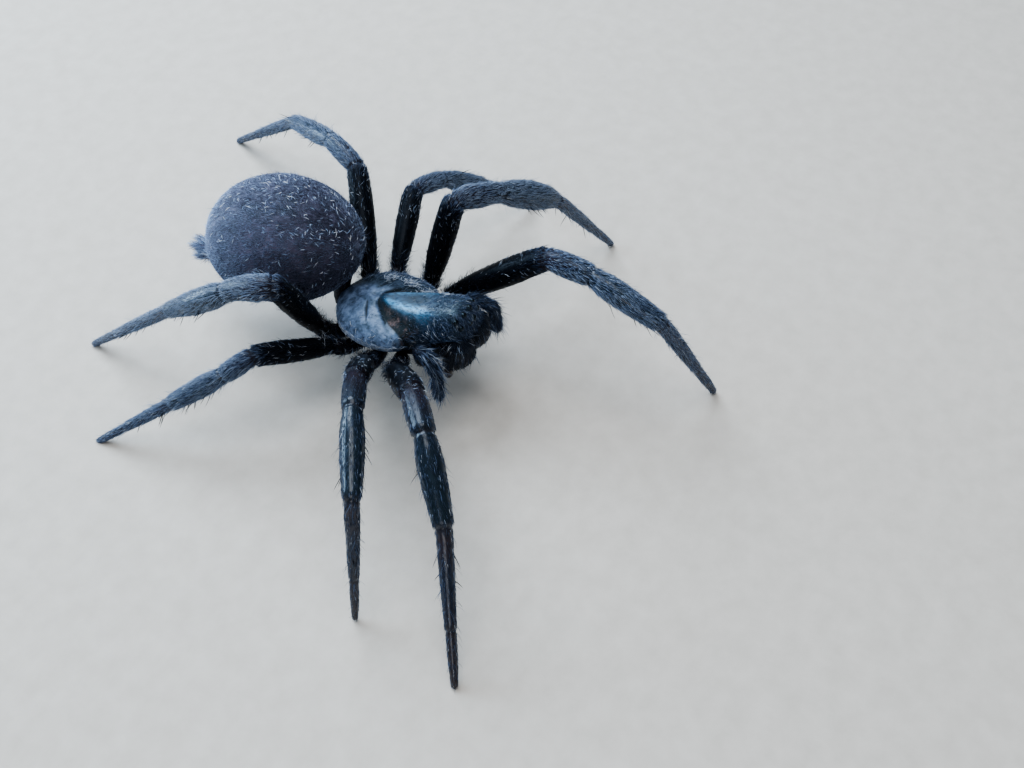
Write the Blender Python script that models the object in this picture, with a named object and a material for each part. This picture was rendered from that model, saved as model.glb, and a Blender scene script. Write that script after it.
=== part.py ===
# Black house spider, adult female, standing: one closed solid for each named part of the body.
# Metres, +Z up. The head faces -Y, so the animal's left side is +X. The feet stand on z = 0, and the
# origin is on the floor under the middle of the leg span.
import math

import bmesh
import bpy
from mathutils import Matrix, Vector
from mathutils.bvhtree import BVHTree

MM = 0.001
LEFT = 1
RIGHT = -1
SIDES = {"L": LEFT, "R": RIGHT}

# Driving dimensions, in millimetres. Body places are (forward, side, up) from the body centre,
# which lies between the hips at the level where the legs leave the body.
BODY_CENTRE = Vector((0.22, -1.38, 3.66))
JOINT_GAP = 0.3
SEAT_GAP = 0.06

CARAPACE_REAR = -3.2
CARAPACE_FRONT = 4.9
CARAPACE_BASE = 0.2
# Level of the shield's underside, which rises over the jaws: (forward, level)
SHIELD_BASE = ((2.2, 0.2), (3.3, 0.95), (4.0, 1.6), (4.9, 1.65))
CARAPACE_SEGMENTS = 28
CARAPACE_RINGS = 22
REAR_ROUNDING = 8
FRONT_ROUNDING = 14

# Half-width of the back shield, and the height of its flanks and of the raised head above its
# base, along the body: (forward, size)
SHIELD_WIDTH = ((-3.2, 1.15), (-2.5, 1.85), (-1.8, 2.3), (-0.8, 2.6), (0.2, 2.65), (1.2, 2.4),
                (1.9, 1.8), (2.5, 1.35), (3.2, 1.32), (4.0, 1.42), (4.7, 1.35))
SHIELD_FLANK = ((-3.2, 0.3), (-2.5, 0.6), (-1.8, 0.85), (-0.8, 1.0), (0.2, 1.05), (1.2, 1.05),
                (2.2, 1.55), (3.2, 2.3), (4.0, 2.65), (4.7, 2.6))
# Power of the curve across the shield, low where it arches and high where the head is flat on top,
# and of the curve down to its edge
SHIELD_SQUARENESS = ((1.2, 2.2), (3.2, 4.0))
SHIELD_EDGE_POWER = 0.55
HEAD_RISE = ((-0.9, 0.0), (0.2, 0.25), (1.2, 0.6), (2.2, 0.5), (3.2, 0.1), (4.0, 0.0))
HEAD_HALF_WIDTH = ((-0.9, 0.15), (0.2, 1.2), (1.0, 1.9), (2.2, 2.4))
GROOVE_DEPTH = 0.16
GROOVE_WIDTH = 0.22

# Half-width of the underside shield along the body: (forward, size)
STERNUM_WIDTH = ((-2.45, 0.4), (-2.05, 0.85), (-0.95, 1.15), (0.2, 1.25), (1.35, 1.15), (2.1, 0.8))
STERNUM_REAR = -2.5
STERNUM_FRONT = 2.15
STERNUM_TOP = -0.12
STERNUM_DEPTH = 1.15
STERNUM_TRIM = 0.05
LABIUM_LENGTH = 0.9
LABIUM_WIDTH = 0.8
LABIUM_HEIGHT = 0.7
LABIUM_DROP = 0.15

ABDOMEN_CENTRE = (-6.65, 0.33, 2.2)
ABDOMEN_LENGTH = 8.8
ABDOMEN_WIDTH = 7.2
ABDOMEN_HEIGHT = 6.7
# How far the tail swings to the animal's right and hangs down, in degrees
ABDOMEN_SWING = 8
ABDOMEN_DROOP = 8
ABDOMEN_REAR_SWELL = 0.05
ABDOMEN_UNDERSIDE = 0.94

PEDICEL_RADIUS = 0.32
PEDICEL_COURSE = ((-2.82, 0.0, -0.55), (-3.4, 0.05, -0.42), (-4.4, 0.15, 0.3))
# Three pairs of spinnerets on one stub: (length, radius, side, up)
SPINNERET_ROOT = (-11.1, -0.8, 0.45)
SPINNERET_PAIRS = ((0.75, 0.24, 0.24, -0.22), (0.5, 0.16, 0.11, 0.0), (0.8, 0.2, 0.19, 0.24))
SPINNERET_SPREAD = 0.6
# The stub's radius and place behind the root, at its inner end and its outer one
SPINNERET_STUB = (0.62, 0.5)
SPINNERET_STUB_ENDS = (-0.5, 0.25)

CHELICERA_TOP = 1.35
CHELICERA_LENGTH = 2.5
CHELICERA_WIDTH = 1.34
CHELICERA_DEPTH = 1.7
CHELICERA_SIDE = 0.77
CHELICERA_FORWARD = 4.2
CHELICERA_FULLNESS = 0.75
CHELICERA_BULGE = 0.35
CHELICERA_BULGE_LEVEL = 0.3
CHELICERA_NARROWING = 0.16
CHELICERA_LEAN = 0.3

FANG_ROOT = (3.7, 0.88, -1.6)
FANG_TIP_SIDE = 0.24
FANG_LEAN = 0.15
FANG_DROOP = 0.26
FANG_RADIUS = 0.22
FANG_TIP_RADIUS = 0.06
FANG_STEPS = 6

EYE_RADIUS = 0.15
# Each pair of eyes in the two rows, seen from inside the head: degrees from straight ahead, and up
HEAD_MIDDLE = (3.2, 0.0, 1.1)
EYE_PAIRS = {
    "front_middle": (8, 35),
    "front_side": (31, 36),
    "rear_middle": (14, 51),
    "rear_side": (39, 47),
}

# Legs, front to rear: lengths of the five long segments, and the widths that they share
LEG_LENGTHS = {
    1: {"femur": 6.5, "patella": 2.5, "tibia": 4.2, "metatarsus": 4.7, "tarsus": 2.6},
    2: {"femur": 5.3, "patella": 2.5, "tibia": 4.4, "metatarsus": 4.5, "tarsus": 2.5},
    3: {"femur": 4.7, "patella": 1.9, "tibia": 3.3, "metatarsus": 3.2, "tarsus": 1.8},
    4: {"femur": 5.8, "patella": 2.7, "tibia": 4.9, "metatarsus": 5.0, "tarsus": 2.4},
}
LEG_STOUTNESS = {1: 1.08, 2: 1.0, 3: 0.9, 4: 0.97}
LEG_SIDES = 10
FOOT_HEIGHT = 0.12

# (forward, side) of each hip's inner end at the sternum and of its outer end, where the femur starts
HIP_ROOT = {1: (1.35, 1.5), 2: (0.2, 1.6), 3: (-0.95, 1.5), 4: (-2.05, 1.25)}
HIP_END = {1: (1.9, 3.05), 2: (0.3, 3.27), 3: (-1.7, 3.1), 4: (-3.05, 2.4)}
HIP_ROOT_LEVEL = -0.8
HIP_BEND_LEVEL = -0.72
HIP_END_LEVEL = -0.1
HIP_BEND = 0.62

# Radius along each segment: (part of its length, radius)
SEGMENT_RADII = {
    "hip": ((0.0, 0.42), (0.3, 0.45), (0.62, 0.47), (0.85, 0.5), (1.0, 0.48)),
    "femur": ((0.1, 0.52), (0.3, 0.64), (0.6, 0.69), (0.85, 0.65), (1.0, 0.57)),
    "patella": ((0.25, 0.61), (0.55, 0.63), (0.8, 0.6), (1.0, 0.55)),
    "tibia": ((0.1, 0.57), (0.3, 0.64), (0.6, 0.61), (0.88, 0.53), (1.0, 0.47)),
    "metatarsus": ((0.1, 0.42), (0.35, 0.4), (0.7, 0.36), (1.0, 0.31)),
    "tarsus": ((0.15, 0.29), (0.5, 0.26), (0.85, 0.2), (1.0, 0.15)),
}

# How each leg stands, in degrees: the turn of a segment is forward of straight sideways, and its
# rise is above level. The foot is the metatarsus with the tarsus, which slopes down to the floor.
POSE = {
    "R1": {"femur": (44, 40), "knee": 36, "tibia": (43, -34), "foot": 33},
    "R2": {"femur": (30, 42), "knee": 29, "tibia": (31, -13), "foot": 19},
    "R3": {"femur": (-28, 25), "knee": -6, "tibia": (-50, -28), "foot": -60},
    "R4": {"femur": (-7, 65), "knee": 7, "tibia": (-80, -34), "foot": -81},
    "L1": {"femur": (80, 40), "knee": 17, "tibia": (93, -17), "foot": 46},
    "L2": {"femur": (33, 73), "knee": 17, "tibia": (32, -31), "foot": 27},
    "L3": {"femur": (-18, 24), "knee": 26, "tibia": (25, -34), "foot": 29},
    "L4": {"femur": (-37, 28), "knee": 21, "tibia": (-64, -20), "foot": -79},
}

# Feelers beside the jaws: the same words as for the legs
PALP_ROOT = (2.55, 1.12, -0.62)
PALP_HIP = (2.65, 1.68, -0.4)
PALP_SEGMENTS = {"femur": 1.55, "patella": 0.65, "tibia": 0.85, "tarsus": 1.65}
PALP_RADII = {
    "hip": ((0.0, 0.34), (1.0, 0.34)),
    "femur": ((0.3, 0.34), (0.7, 0.37), (1.0, 0.34)),
    "patella": ((0.5, 0.38), (1.0, 0.34)),
    "tibia": ((0.5, 0.38), (1.0, 0.33)),
    "tarsus": ((0.3, 0.37), (0.7, 0.31), (0.92, 0.2), (1.0, 0.1)),
}
PALP_POSE = {
    "R": {"femur": (25, 68), "patella": (80, -15), "tibia": (80, -62), "tarsus": (40, -72)},
    "L": {"femur": (57, 62), "patella": (84, 20), "tibia": (88, -14), "tarsus": (110, -80)},
}


def clear_scene():
    for old in list(bpy.data.objects):
        bpy.data.objects.remove(old, do_unlink=True)


def collection(name):
    made = bpy.data.collections.new(name)
    bpy.context.scene.collection.children.link(made)
    return made


def finish(name, colour, roughness):
    made = bpy.data.materials.new(name)
    made.use_nodes = True
    shader = made.node_tree.nodes["Principled BSDF"]
    shader.inputs["Base Color"].default_value = (*colour, 1.0)
    shader.inputs["Roughness"].default_value = roughness
    shader.inputs["Metallic"].default_value = 0.0
    return made


def place(forward, side, up):
    # a point given from the body centre, in metres
    return (BODY_CENTRE + Vector((side, -forward, up))) * MM


def heading(side, turn, rise):
    # the direction of a segment on one side of the body
    turn = math.radians(turn)
    rise = math.radians(rise)
    level = math.cos(rise)
    return Vector((side * math.cos(turn) * level, -math.sin(turn) * level, math.sin(rise)))


def add_object(name, mesh, material, group):
    mesh.materials.clear()
    mesh.materials.append(material)
    mesh.shade_smooth()
    mesh.set_sharp_from_angle(angle=math.radians(40))
    made = bpy.data.objects.new(name, mesh)
    group.objects.link(made)
    return made


def add_bmesh(name, bm, material, group):
    bmesh.ops.recalc_face_normals(bm, faces=bm.faces)
    mesh = bpy.data.meshes.new(name)
    bm.to_mesh(mesh)
    bm.free()
    return add_object(name, mesh, material, group)


def between(table, x):
    # a smooth curve through a table of (x, value) pairs
    if x <= table[0][0]:
        return table[0][1]
    for (x0, y0), (x1, y1) in zip(table, table[1:]):
        if x <= x1:
            t = (x - x0) / (x1 - x0)
            return y0 + (y1 - y0) * (0.5 - 0.5 * math.cos(math.pi * t)) * 0.5 + (y1 - y0) * t * 0.5
    return table[-1][1]


def tube_mesh(points, radii, sides):
    # a closed tube of changing radius, as a mesh in world space
    curve = bpy.data.curves.new("tube", "CURVE")
    curve.dimensions = "3D"
    curve.bevel_depth = MM
    curve.bevel_resolution = (sides - 4) // 2
    curve.use_fill_caps = True
    spline = curve.splines.new("POLY")
    spline.points.add(len(points) - 1)
    for spot, point, radius in zip(spline.points, points, radii):
        spot.co = (*point, 1.0)
        spot.radius = radius
    guide = bpy.data.objects.new("tube", curve)
    bpy.context.scene.collection.objects.link(guide)
    bpy.context.view_layer.update()
    solid = bpy.data.meshes.new_from_object(guide.evaluated_get(bpy.context.evaluated_depsgraph_get()))
    bpy.data.objects.remove(guide, do_unlink=True)
    bpy.data.curves.remove(curve)
    bm = bmesh.new()
    bm.from_mesh(solid)
    bpy.data.meshes.remove(solid)
    bmesh.ops.remove_doubles(bm, verts=bm.verts, dist=1e-6)
    bmesh.ops.recalc_face_normals(bm, faces=bm.faces)
    return bm


def cut_away(bm, point, normal):
    # removes what lies on the normal's side of a plane and closes the cut
    cut = bmesh.ops.bisect_plane(bm, geom=bm.verts[:] + bm.edges[:] + bm.faces[:], dist=1e-7,
                                 plane_co=point, plane_no=normal, clear_outer=True)
    rim = [piece for piece in cut["geom_cut"] if isinstance(piece, bmesh.types.BMEdge)]
    bmesh.ops.contextual_create(bm, geom=rim)


def slice_between(whole, start, end):
    # the length of a tube between two cut planes, each (point, direction), or None at a free end
    part = whole.copy()
    if start:
        point, along = start
        cut_away(part, point + along * (JOINT_GAP / 2 * MM), -along)
    if end:
        point, along = end
        cut_away(part, point - along * (JOINT_GAP / 2 * MM), along)
    return part


def jointed_path(joints, segments, radii_table):
    # centre points and radii along a chain of segments, with each bend rounded off, and the plane
    # that parts the chain at each joint
    points = [joints[0]]
    radii = [radii_table[segments[0]][0][1]]
    planes = []
    for index, segment in enumerate(segments):
        start = joints[index]
        end = joints[index + 1]
        last = index == len(segments) - 1
        for part, radius in radii_table[segment]:
            if part <= 0.0:
                continue
            if part >= 1.0 and not last:
                ahead = (joints[index + 2] - end).normalized()
                behind = (end - start).normalized()
                reach = 0.3 * MM
                corner = end + (ahead - behind) * (reach / 4)
                points.append(corner)
                planes.append((corner, (ahead + behind).normalized()))
            else:
                points.append(start.lerp(end, part))
            radii.append(radius)
    return points, radii, planes


def leg_joints(side, number, pose):
    # hip root, hip bend, hip end, knee, patella end, tibia end, metatarsus end, toe
    lengths = LEG_LENGTHS[number]
    root = place(HIP_ROOT[number][0], side * HIP_ROOT[number][1], HIP_ROOT_LEVEL)
    end = place(HIP_END[number][0], side * HIP_END[number][1], HIP_END_LEVEL)
    turn, rise = pose["tibia"]
    knee = end + heading(side, *pose["femur"]) * lengths["femur"] * MM
    shin = knee + heading(side, turn, rise + pose["knee"]) * lengths["patella"] * MM
    ankle = shin + heading(side, turn, rise) * lengths["tibia"] * MM
    foot_length = (lengths["metatarsus"] + lengths["tarsus"]) * MM
    slope = -math.degrees(math.asin((ankle.z - FOOT_HEIGHT * MM) / foot_length))
    down = heading(side, pose["foot"], slope)
    heel = ankle + down * lengths["metatarsus"] * MM
    toe = heel + down * (heel.z + FOOT_HEIGHT * MM) / -down.z
    return [root, end, knee, shin, ankle, heel, toe]


def build_leg(label, group, material):
    side = SIDES[label[0]]
    number = int(label[1])
    joints = leg_joints(side, number, POSE[label])
    stout = LEG_STOUTNESS[number]
    hip, rest = joints[:2], joints[1:]
    bend = hip[0].lerp(hip[1], HIP_BEND)
    bend.z = (BODY_CENTRE.z + HIP_BEND_LEVEL) * MM
    segments = ["femur", "patella", "tibia", "metatarsus", "tarsus"]
    points, radii, planes = jointed_path([bend] + rest, ["hip"] + segments, {
        **SEGMENT_RADII, "hip": SEGMENT_RADII["hip"][3:]})
    inner = [(part / HIP_BEND, radius) for part, radius in SEGMENT_RADII["hip"][:3]]
    points = [hip[0].lerp(bend, part) for part, _ in inner] + points[1:]
    radii = [radius for _, radius in inner] + radii[1:]
    whole = tube_mesh(points, [radius * stout for radius in radii], LEG_SIDES)
    cut_away(whole, Vector((0, 0, 0)), Vector((0, 0, -1)))
    hip_end, knee, _, ankle, _ = planes
    lengths = {
        "hip": (None, hip_end),
        "femur": (hip_end, knee),
        "tibia": (knee, ankle),
        "foot": (ankle, None),
    }
    for name, (start, end) in lengths.items():
        add_bmesh(f"leg_{label}_{name}", slice_between(whole, start, end), material, group)
    whole.free()


def build_palp(letter, group, material):
    side = SIDES[letter]
    joints = [place(PALP_ROOT[0], side * PALP_ROOT[1], PALP_ROOT[2])]
    joints.append(place(PALP_HIP[0], side * PALP_HIP[1], PALP_HIP[2]))
    for segment, length in PALP_SEGMENTS.items():
        joints.append(joints[-1] + heading(side, *PALP_POSE[letter][segment]) * length * MM)
    points, radii, planes = jointed_path(joints, ["hip", *PALP_SEGMENTS], PALP_RADII)
    knee = planes[1]
    # The feeler folds back on itself, so each part is cut from a tube that ends just past the knee
    turn = points.index(knee[0])
    upper = tube_mesh(points[:turn + 2], radii[:turn + 2], LEG_SIDES)
    lower = tube_mesh(points[turn - 1:], radii[turn - 1:], LEG_SIDES)
    add_bmesh(f"palp_{letter}_femur", slice_between(upper, None, knee), material, group)
    add_bmesh(f"palp_{letter}_tip", slice_between(lower, knee, None), material, group)
    upper.free()
    lower.free()


def long_form(segments, rings, rear, front, outline):
    # a closed form along the body: a ball whose rings take the outline's shape. The outline gives
    # (side, up) for a place along the body, the fade towards its rounded ends, and a direction round it
    bm = bmesh.new()
    bmesh.ops.create_uvsphere(bm, u_segments=segments, v_segments=rings, radius=1.0)
    bmesh.ops.rotate(bm, verts=bm.verts, matrix=Matrix.Rotation(math.radians(90), 3, "X"))
    for vert in bm.verts:
        x, y, z = vert.co
        ring = max(1e-6, math.hypot(x, z))
        forward = (front + rear) / 2 - y * (front - rear) / 2
        rounding = FRONT_ROUNDING if y < 0 else REAR_ROUNDING
        fade = math.sqrt(max(0.0, 1.0 - abs(y) ** rounding))
        side, up = outline(forward, fade, x / ring, z / ring)
        vert.co = place(forward, side, up)
    return bm


def shield_height(forward, side, fade):
    # height of the shield's upper face above its base plane
    width = max(1e-6, between(SHIELD_WIDTH, forward) * fade)
    across = min(1.0, abs(side) / width)
    arch = 1.0 - across ** between(SHIELD_SQUARENESS, forward)
    flank = between(SHIELD_FLANK, forward) * arch ** SHIELD_EDGE_POWER
    edge = between(HEAD_HALF_WIDTH, forward)
    inside = min(1.0, max(0.0, (edge - abs(side)) / (0.6 * edge)))
    head = between(HEAD_RISE, forward) * inside * inside * (3.0 - 2.0 * inside)
    groove = GROOVE_DEPTH * math.exp(-((abs(side) - edge) / GROOVE_WIDTH) ** 2)
    groove *= (1.0 - across ** 4) * min(1.0, max(0.0, 1.0 - (forward - 1.2) / 0.6))
    return max(0.0, (flank + head - groove) * fade)


def shield_outline(forward, fade, across, upward):
    side = between(SHIELD_WIDTH, forward) * fade * across
    base = between(SHIELD_BASE, forward)
    if upward > 1e-6:
        return side, max(base, CARAPACE_BASE + shield_height(forward, side, fade))
    return side, base + 0.02 * upward * fade


def sternum_outline(forward, fade, across, upward):
    return between(STERNUM_WIDTH, forward) * fade * across, STERNUM_TOP + STERNUM_DEPTH * fade * upward


def build_carapace(group, material):
    bm = long_form(CARAPACE_SEGMENTS, CARAPACE_RINGS, CARAPACE_REAR, CARAPACE_FRONT, shield_outline)
    return add_bmesh("carapace", bm, material, group)


def build_sternum(group, material):
    # the underside shield, with the lip at its front end and a flat upper face
    plate = long_form(20, 14, STERNUM_REAR, STERNUM_FRONT, sternum_outline)
    lip = bmesh.new()
    bmesh.ops.create_uvsphere(lip, u_segments=12, v_segments=8, radius=1.0)
    for vert in lip.verts:
        x, y, z = vert.co
        vert.co = place(STERNUM_FRONT - y * LABIUM_LENGTH / 2, x * LABIUM_WIDTH / 2,
                        STERNUM_TOP - LABIUM_DROP + (z - 1.0) * LABIUM_HEIGHT / 2)
    cut_away(plate, place(0, 0, STERNUM_TOP - STERNUM_TRIM), Vector((0, 0, 1)))
    fuse("sternum", [plate, lip], group, material)


def grown(mesh, distance, name, group):
    # a cutter: the mesh moved outwards along its normals
    bm = bmesh.new()
    bm.from_mesh(mesh)
    bm.normal_update()
    moves = {vert: vert.normal * distance for vert in bm.verts}
    for vert, move in moves.items():
        vert.co += move
    shape = bpy.data.meshes.new(name)
    bm.to_mesh(shape)
    bm.free()
    cutter = bpy.data.objects.new(name, shape)
    cutter.hide_render = True
    cutter.display_type = "WIRE"
    group.objects.link(cutter)
    return cutter


def cut_clear(body, cutter):
    cut = body.modifiers.new(cutter.name, "BOOLEAN")
    cut.operation = "DIFFERENCE"
    cut.object = cutter


def build_chelicera(letter, group, material):
    # a stout jaw: an egg on end whose front bulges just below the head
    side = SIDES[letter]
    bm = bmesh.new()
    bmesh.ops.create_uvsphere(bm, u_segments=14, v_segments=12, radius=1.0)
    for vert in bm.verts:
        x, y, z = vert.co
        down = (1.0 - z) / 2
        ring = max(1e-6, math.hypot(x, y))
        narrow = (1.0 - CHELICERA_NARROWING * down) * ring ** CHELICERA_FULLNESS / ring
        bulge = CHELICERA_BULGE * (1.0 - (z - CHELICERA_BULGE_LEVEL) ** 2)
        forward = CHELICERA_FORWARD + bulge - CHELICERA_LEAN * down - y * CHELICERA_DEPTH / 2 * narrow
        up = CHELICERA_TOP - CHELICERA_LENGTH * down
        vert.co = place(forward, side * CHELICERA_SIDE + x * CHELICERA_WIDTH / 2 * narrow, up)
    return add_bmesh(f"chelicera_{letter}", bm, material, group)


def build_fang(letter, group, material):
    # a curved tooth that starts under the jaw's outer side and folds in towards the middle
    points = []
    radii = []
    for step in range(FANG_STEPS + 1):
        part = step / FANG_STEPS
        droop = FANG_DROOP * math.sin(math.radians(150) * part)
        across = FANG_ROOT[1] + (FANG_TIP_SIDE - FANG_ROOT[1]) * part
        points.append(place(FANG_ROOT[0] - FANG_LEAN * part, SIDES[letter] * across, FANG_ROOT[2] - droop))
        radii.append(FANG_RADIUS + (FANG_TIP_RADIUS - FANG_RADIUS) * part)
    add_bmesh(f"fang_{letter}", tube_mesh(points, radii, 8), material, group)


def abdomen_outline(forward, fade, across, upward):
    # an egg, a little wider behind the middle and flatter below
    _, side, up = ABDOMEN_CENTRE
    under = ABDOMEN_UNDERSIDE if upward < 0 else 1.0
    behind = (ABDOMEN_CENTRE[0] - forward) / (ABDOMEN_LENGTH / 2)
    girth = math.sqrt(max(0.0, 1.0 - behind * behind)) * (1.0 + ABDOMEN_REAR_SWELL * behind)
    return (side + across * girth * ABDOMEN_WIDTH / 2,
            up + upward * under * girth * ABDOMEN_HEIGHT / 2)


def abdomen_turn():
    # the swing of the tail to the right after its droop
    swing = Matrix.Rotation(math.radians(ABDOMEN_SWING), 3, "Z")
    return swing @ Matrix.Rotation(math.radians(-ABDOMEN_DROOP), 3, "X")


def build_abdomen(group, material):
    rear = ABDOMEN_CENTRE[0] - ABDOMEN_LENGTH / 2
    bm = long_form(28, 20, rear, rear + ABDOMEN_LENGTH, abdomen_outline)
    hang = abdomen_turn()
    middle = place(*ABDOMEN_CENTRE)
    bmesh.ops.rotate(bm, verts=bm.verts, cent=middle, matrix=hang)
    return add_bmesh("abdomen", bm, material, group)


def build_pedicel(group, material):
    # the narrow waist, which ends just short of the abdomen's front underside
    points = [place(*point) for point in PEDICEL_COURSE]
    radii = [PEDICEL_RADIUS] * len(points)
    return add_bmesh("pedicel", tube_mesh(points, radii, 8), material, group)


def build_spinnerets():
    # six short cones on one stub, spread a little, longest in front and behind
    root = place(*SPINNERET_ROOT)
    hang = abdomen_turn()
    cones = []
    for length, radius, across, up in SPINNERET_PAIRS:
        for side in (LEFT, RIGHT):
            offset = hang @ Vector((side * across, 0, up))
            aim = (hang @ Vector((0, 1.0, 0)) + offset * SPINNERET_SPREAD).normalized()
            points = [root + (offset + aim * (length * part)) * MM for part in (0.0, 0.6, 1.0)]
            cones.append(tube_mesh(points, [radius, radius * 0.85, radius * 0.4], 8))
    stub = tube_mesh([root + hang @ Vector((0, level, 0)) * MM for level in SPINNERET_STUB_ENDS],
                     SPINNERET_STUB, 12)
    return [stub] + cones


def fuse(name, pieces, group, material):
    # one closed body from overlapping closed ones
    parts = collection(f"{name}_pieces")
    made = []
    for index, bm in enumerate(pieces):
        made.append(add_bmesh(f"{name}_piece_{index}", bm, material, parts))
    body = made[0]
    parts.objects.unlink(body)
    group.objects.link(body)
    body.name = name
    union = body.modifiers.new("union", "BOOLEAN")
    union.operation = "UNION"
    union.operand_type = "COLLECTION"
    union.collection = parts
    apply_modifiers(body)
    for piece in made[1:]:
        bpy.data.objects.remove(piece, do_unlink=True)
    bpy.data.collections.remove(parts)
    return body


def apply_modifiers(body):
    bpy.context.view_layer.update()
    shape = bpy.data.meshes.new_from_object(body.evaluated_get(bpy.context.evaluated_depsgraph_get()))
    body.modifiers.clear()
    body.data = shape


def build_eyes(carapace, group, material, cutters):
    # each eye is a small ball half sunk in a socket of the head
    bm = bmesh.new()
    bm.from_mesh(carapace.data)
    head = BVHTree.FromBMesh(bm)
    bm.free()
    for row, (apart, rise) in EYE_PAIRS.items():
        for letter, side in SIDES.items():
            aim = heading(side, 90 - apart, rise)
            surface, normal, _, _ = head.ray_cast(place(*HEAD_MIDDLE), aim)
            ball = bmesh.new()
            bmesh.ops.create_icosphere(ball, subdivisions=2, radius=EYE_RADIUS * MM)
            bmesh.ops.translate(ball, verts=ball.verts, vec=surface)
            eye = add_bmesh(f"eye_{row}_{letter}", ball, material, group)
            cut_clear(carapace, grown(eye.data, SEAT_GAP * MM, f"socket_{row}_{letter}", cutters))


def main():
    clear_scene()
    spider = collection("black_house_spider")
    cutters = collection("cutters")
    shell = finish("shell", (0.012, 0.016, 0.03), 0.28)
    shield = finish("shield", (0.03, 0.05, 0.09), 0.25)
    velvet = finish("velvet", (0.035, 0.03, 0.045), 0.85)
    lens = finish("eye", (0.01, 0.01, 0.012), 0.05)
    horn = finish("fang", (0.03, 0.008, 0.005), 0.2)

    carapace = build_carapace(spider, shield)
    build_eyes(carapace, spider, lens, cutters)
    for letter in SIDES:
        build_chelicera(letter, spider, shell)
        build_fang(letter, spider, horn)
        build_palp(letter, spider, shell)
    build_sternum(spider, shell)
    for label in POSE:
        build_leg(label, spider, shell)
    abdomen = build_abdomen(spider, velvet)
    around = grown(abdomen.data, JOINT_GAP * MM, "around_abdomen", cutters)
    cut_clear(build_pedicel(spider, shell), around)
    cut_clear(fuse("spinnerets", build_spinnerets(), spider, velvet), around)


main()
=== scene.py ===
# Black house spider, adult female, as a life-size museum model: the surfaces, colours and hairs that
# dress its solids. Metres, +Z up. The head faces -Y, so the animal's left side is +X, and the feet
# stand on z = 0.
import math

import bmesh
import bpy
import numpy as np
from mathutils import Matrix, Vector
from mathutils.geometry import interpolate_bezier


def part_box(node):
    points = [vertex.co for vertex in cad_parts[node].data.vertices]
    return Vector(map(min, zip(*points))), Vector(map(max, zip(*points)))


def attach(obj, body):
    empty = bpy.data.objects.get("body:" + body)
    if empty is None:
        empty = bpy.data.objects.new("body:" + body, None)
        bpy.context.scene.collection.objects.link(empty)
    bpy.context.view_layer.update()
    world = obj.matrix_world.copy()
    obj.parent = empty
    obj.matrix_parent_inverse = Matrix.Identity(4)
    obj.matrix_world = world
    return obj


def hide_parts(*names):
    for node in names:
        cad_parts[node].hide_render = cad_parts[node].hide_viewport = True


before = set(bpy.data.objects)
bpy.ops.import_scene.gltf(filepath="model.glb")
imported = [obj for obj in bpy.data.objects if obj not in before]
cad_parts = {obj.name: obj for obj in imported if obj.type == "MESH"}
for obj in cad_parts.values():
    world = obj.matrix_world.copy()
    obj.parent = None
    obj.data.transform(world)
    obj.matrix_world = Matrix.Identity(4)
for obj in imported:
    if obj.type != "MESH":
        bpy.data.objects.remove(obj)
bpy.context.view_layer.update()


# Camera. It looks down on the animal from high at its front right, and is as close as for a close-up
# of a creature with a 35 mm leg span.
MM = 0.001
SIGHT_POINT = Vector((1.73, -7.5, 0.0)) * MM
SIGHT_TURN = math.radians(-61.86)
SIGHT_RISE = math.radians(50.7)
SIGHT_DISTANCE = 67.6 * MM

backward = Vector((math.sin(SIGHT_TURN) * math.cos(SIGHT_RISE),
                   -math.cos(SIGHT_TURN) * math.cos(SIGHT_RISE),
                   math.sin(SIGHT_RISE)))
camera = bpy.data.objects.new("camera", bpy.data.cameras.new("camera"))
camera.data.lens = 44.5
camera.data.clip_start = 2 * MM
camera.data.clip_end = 10.0
camera.location = SIGHT_POINT + backward * SIGHT_DISTANCE
camera.rotation_mode = "QUATERNION"
camera.rotation_quaternion = (-backward).to_track_quat("-Z", "Y")
bpy.context.scene.collection.objects.link(camera)
bpy.context.scene.camera = camera


# Lamps and room. A broad soft lamp stands high behind the abdomen, where the open sky was, and
# gives the back its cool sheen, and a low one behind lights the far rims. Two weak ones, above and
# near, and the pale room fill the rest.
def lamp(name, place, size, watts, colour):
    light = bpy.data.lights.new(name, "AREA")
    light.shape = "DISK"
    light.size = size * MM
    light.energy = watts
    light.color = colour
    made = bpy.data.objects.new(name, light)
    made.location = Vector(place) * MM
    made.rotation_mode = "QUATERNION"
    made.rotation_quaternion = (Vector((0, 0, 3)) * MM - made.location).to_track_quat("-Z", "Y")
    bpy.context.scene.collection.objects.link(made)


lamp("sky_lamp", (55, 95, 130), 115, 0.36, (0.80, 0.90, 1.0))
lamp("rim_lamp", (-20, 150, 40), 120, 0.34, (0.62, 0.82, 1.0))
lamp("top_lamp", (-10, 0, 160), 110, 0.13, (1.0, 0.99, 0.97))
lamp("near_lamp", (-130, -60, 70), 90, 0.05, (1.0, 0.97, 0.95))
room = bpy.data.worlds.new("room")
room.use_nodes = True
room.node_tree.nodes["Background"].inputs["Color"].default_value = (0.70, 0.76, 0.84, 1.0)
room.node_tree.nodes["Background"].inputs["Strength"].default_value = 0.35
bpy.context.scene.world = room
bpy.context.scene.view_settings.view_transform = "AgX"
bpy.context.scene.view_settings.look = "AgX - Medium High Contrast"


# Floor. A plain pale board under the feet, which isn't part of the animal.
def node(tree, kind, settings=(), **inputs):
    # a shader node whose inputs take a number, a colour or another node's output
    made = tree.nodes.new("ShaderNode" + kind)
    for name, value in dict(settings).items():
        setattr(made, name, value)
    for name, value in inputs.items():
        socket = made.inputs[name.replace("_", " ")]
        if isinstance(value, bpy.types.NodeSocket):
            tree.links.new(value, socket)
        else:
            socket.default_value = value
    return made


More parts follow.
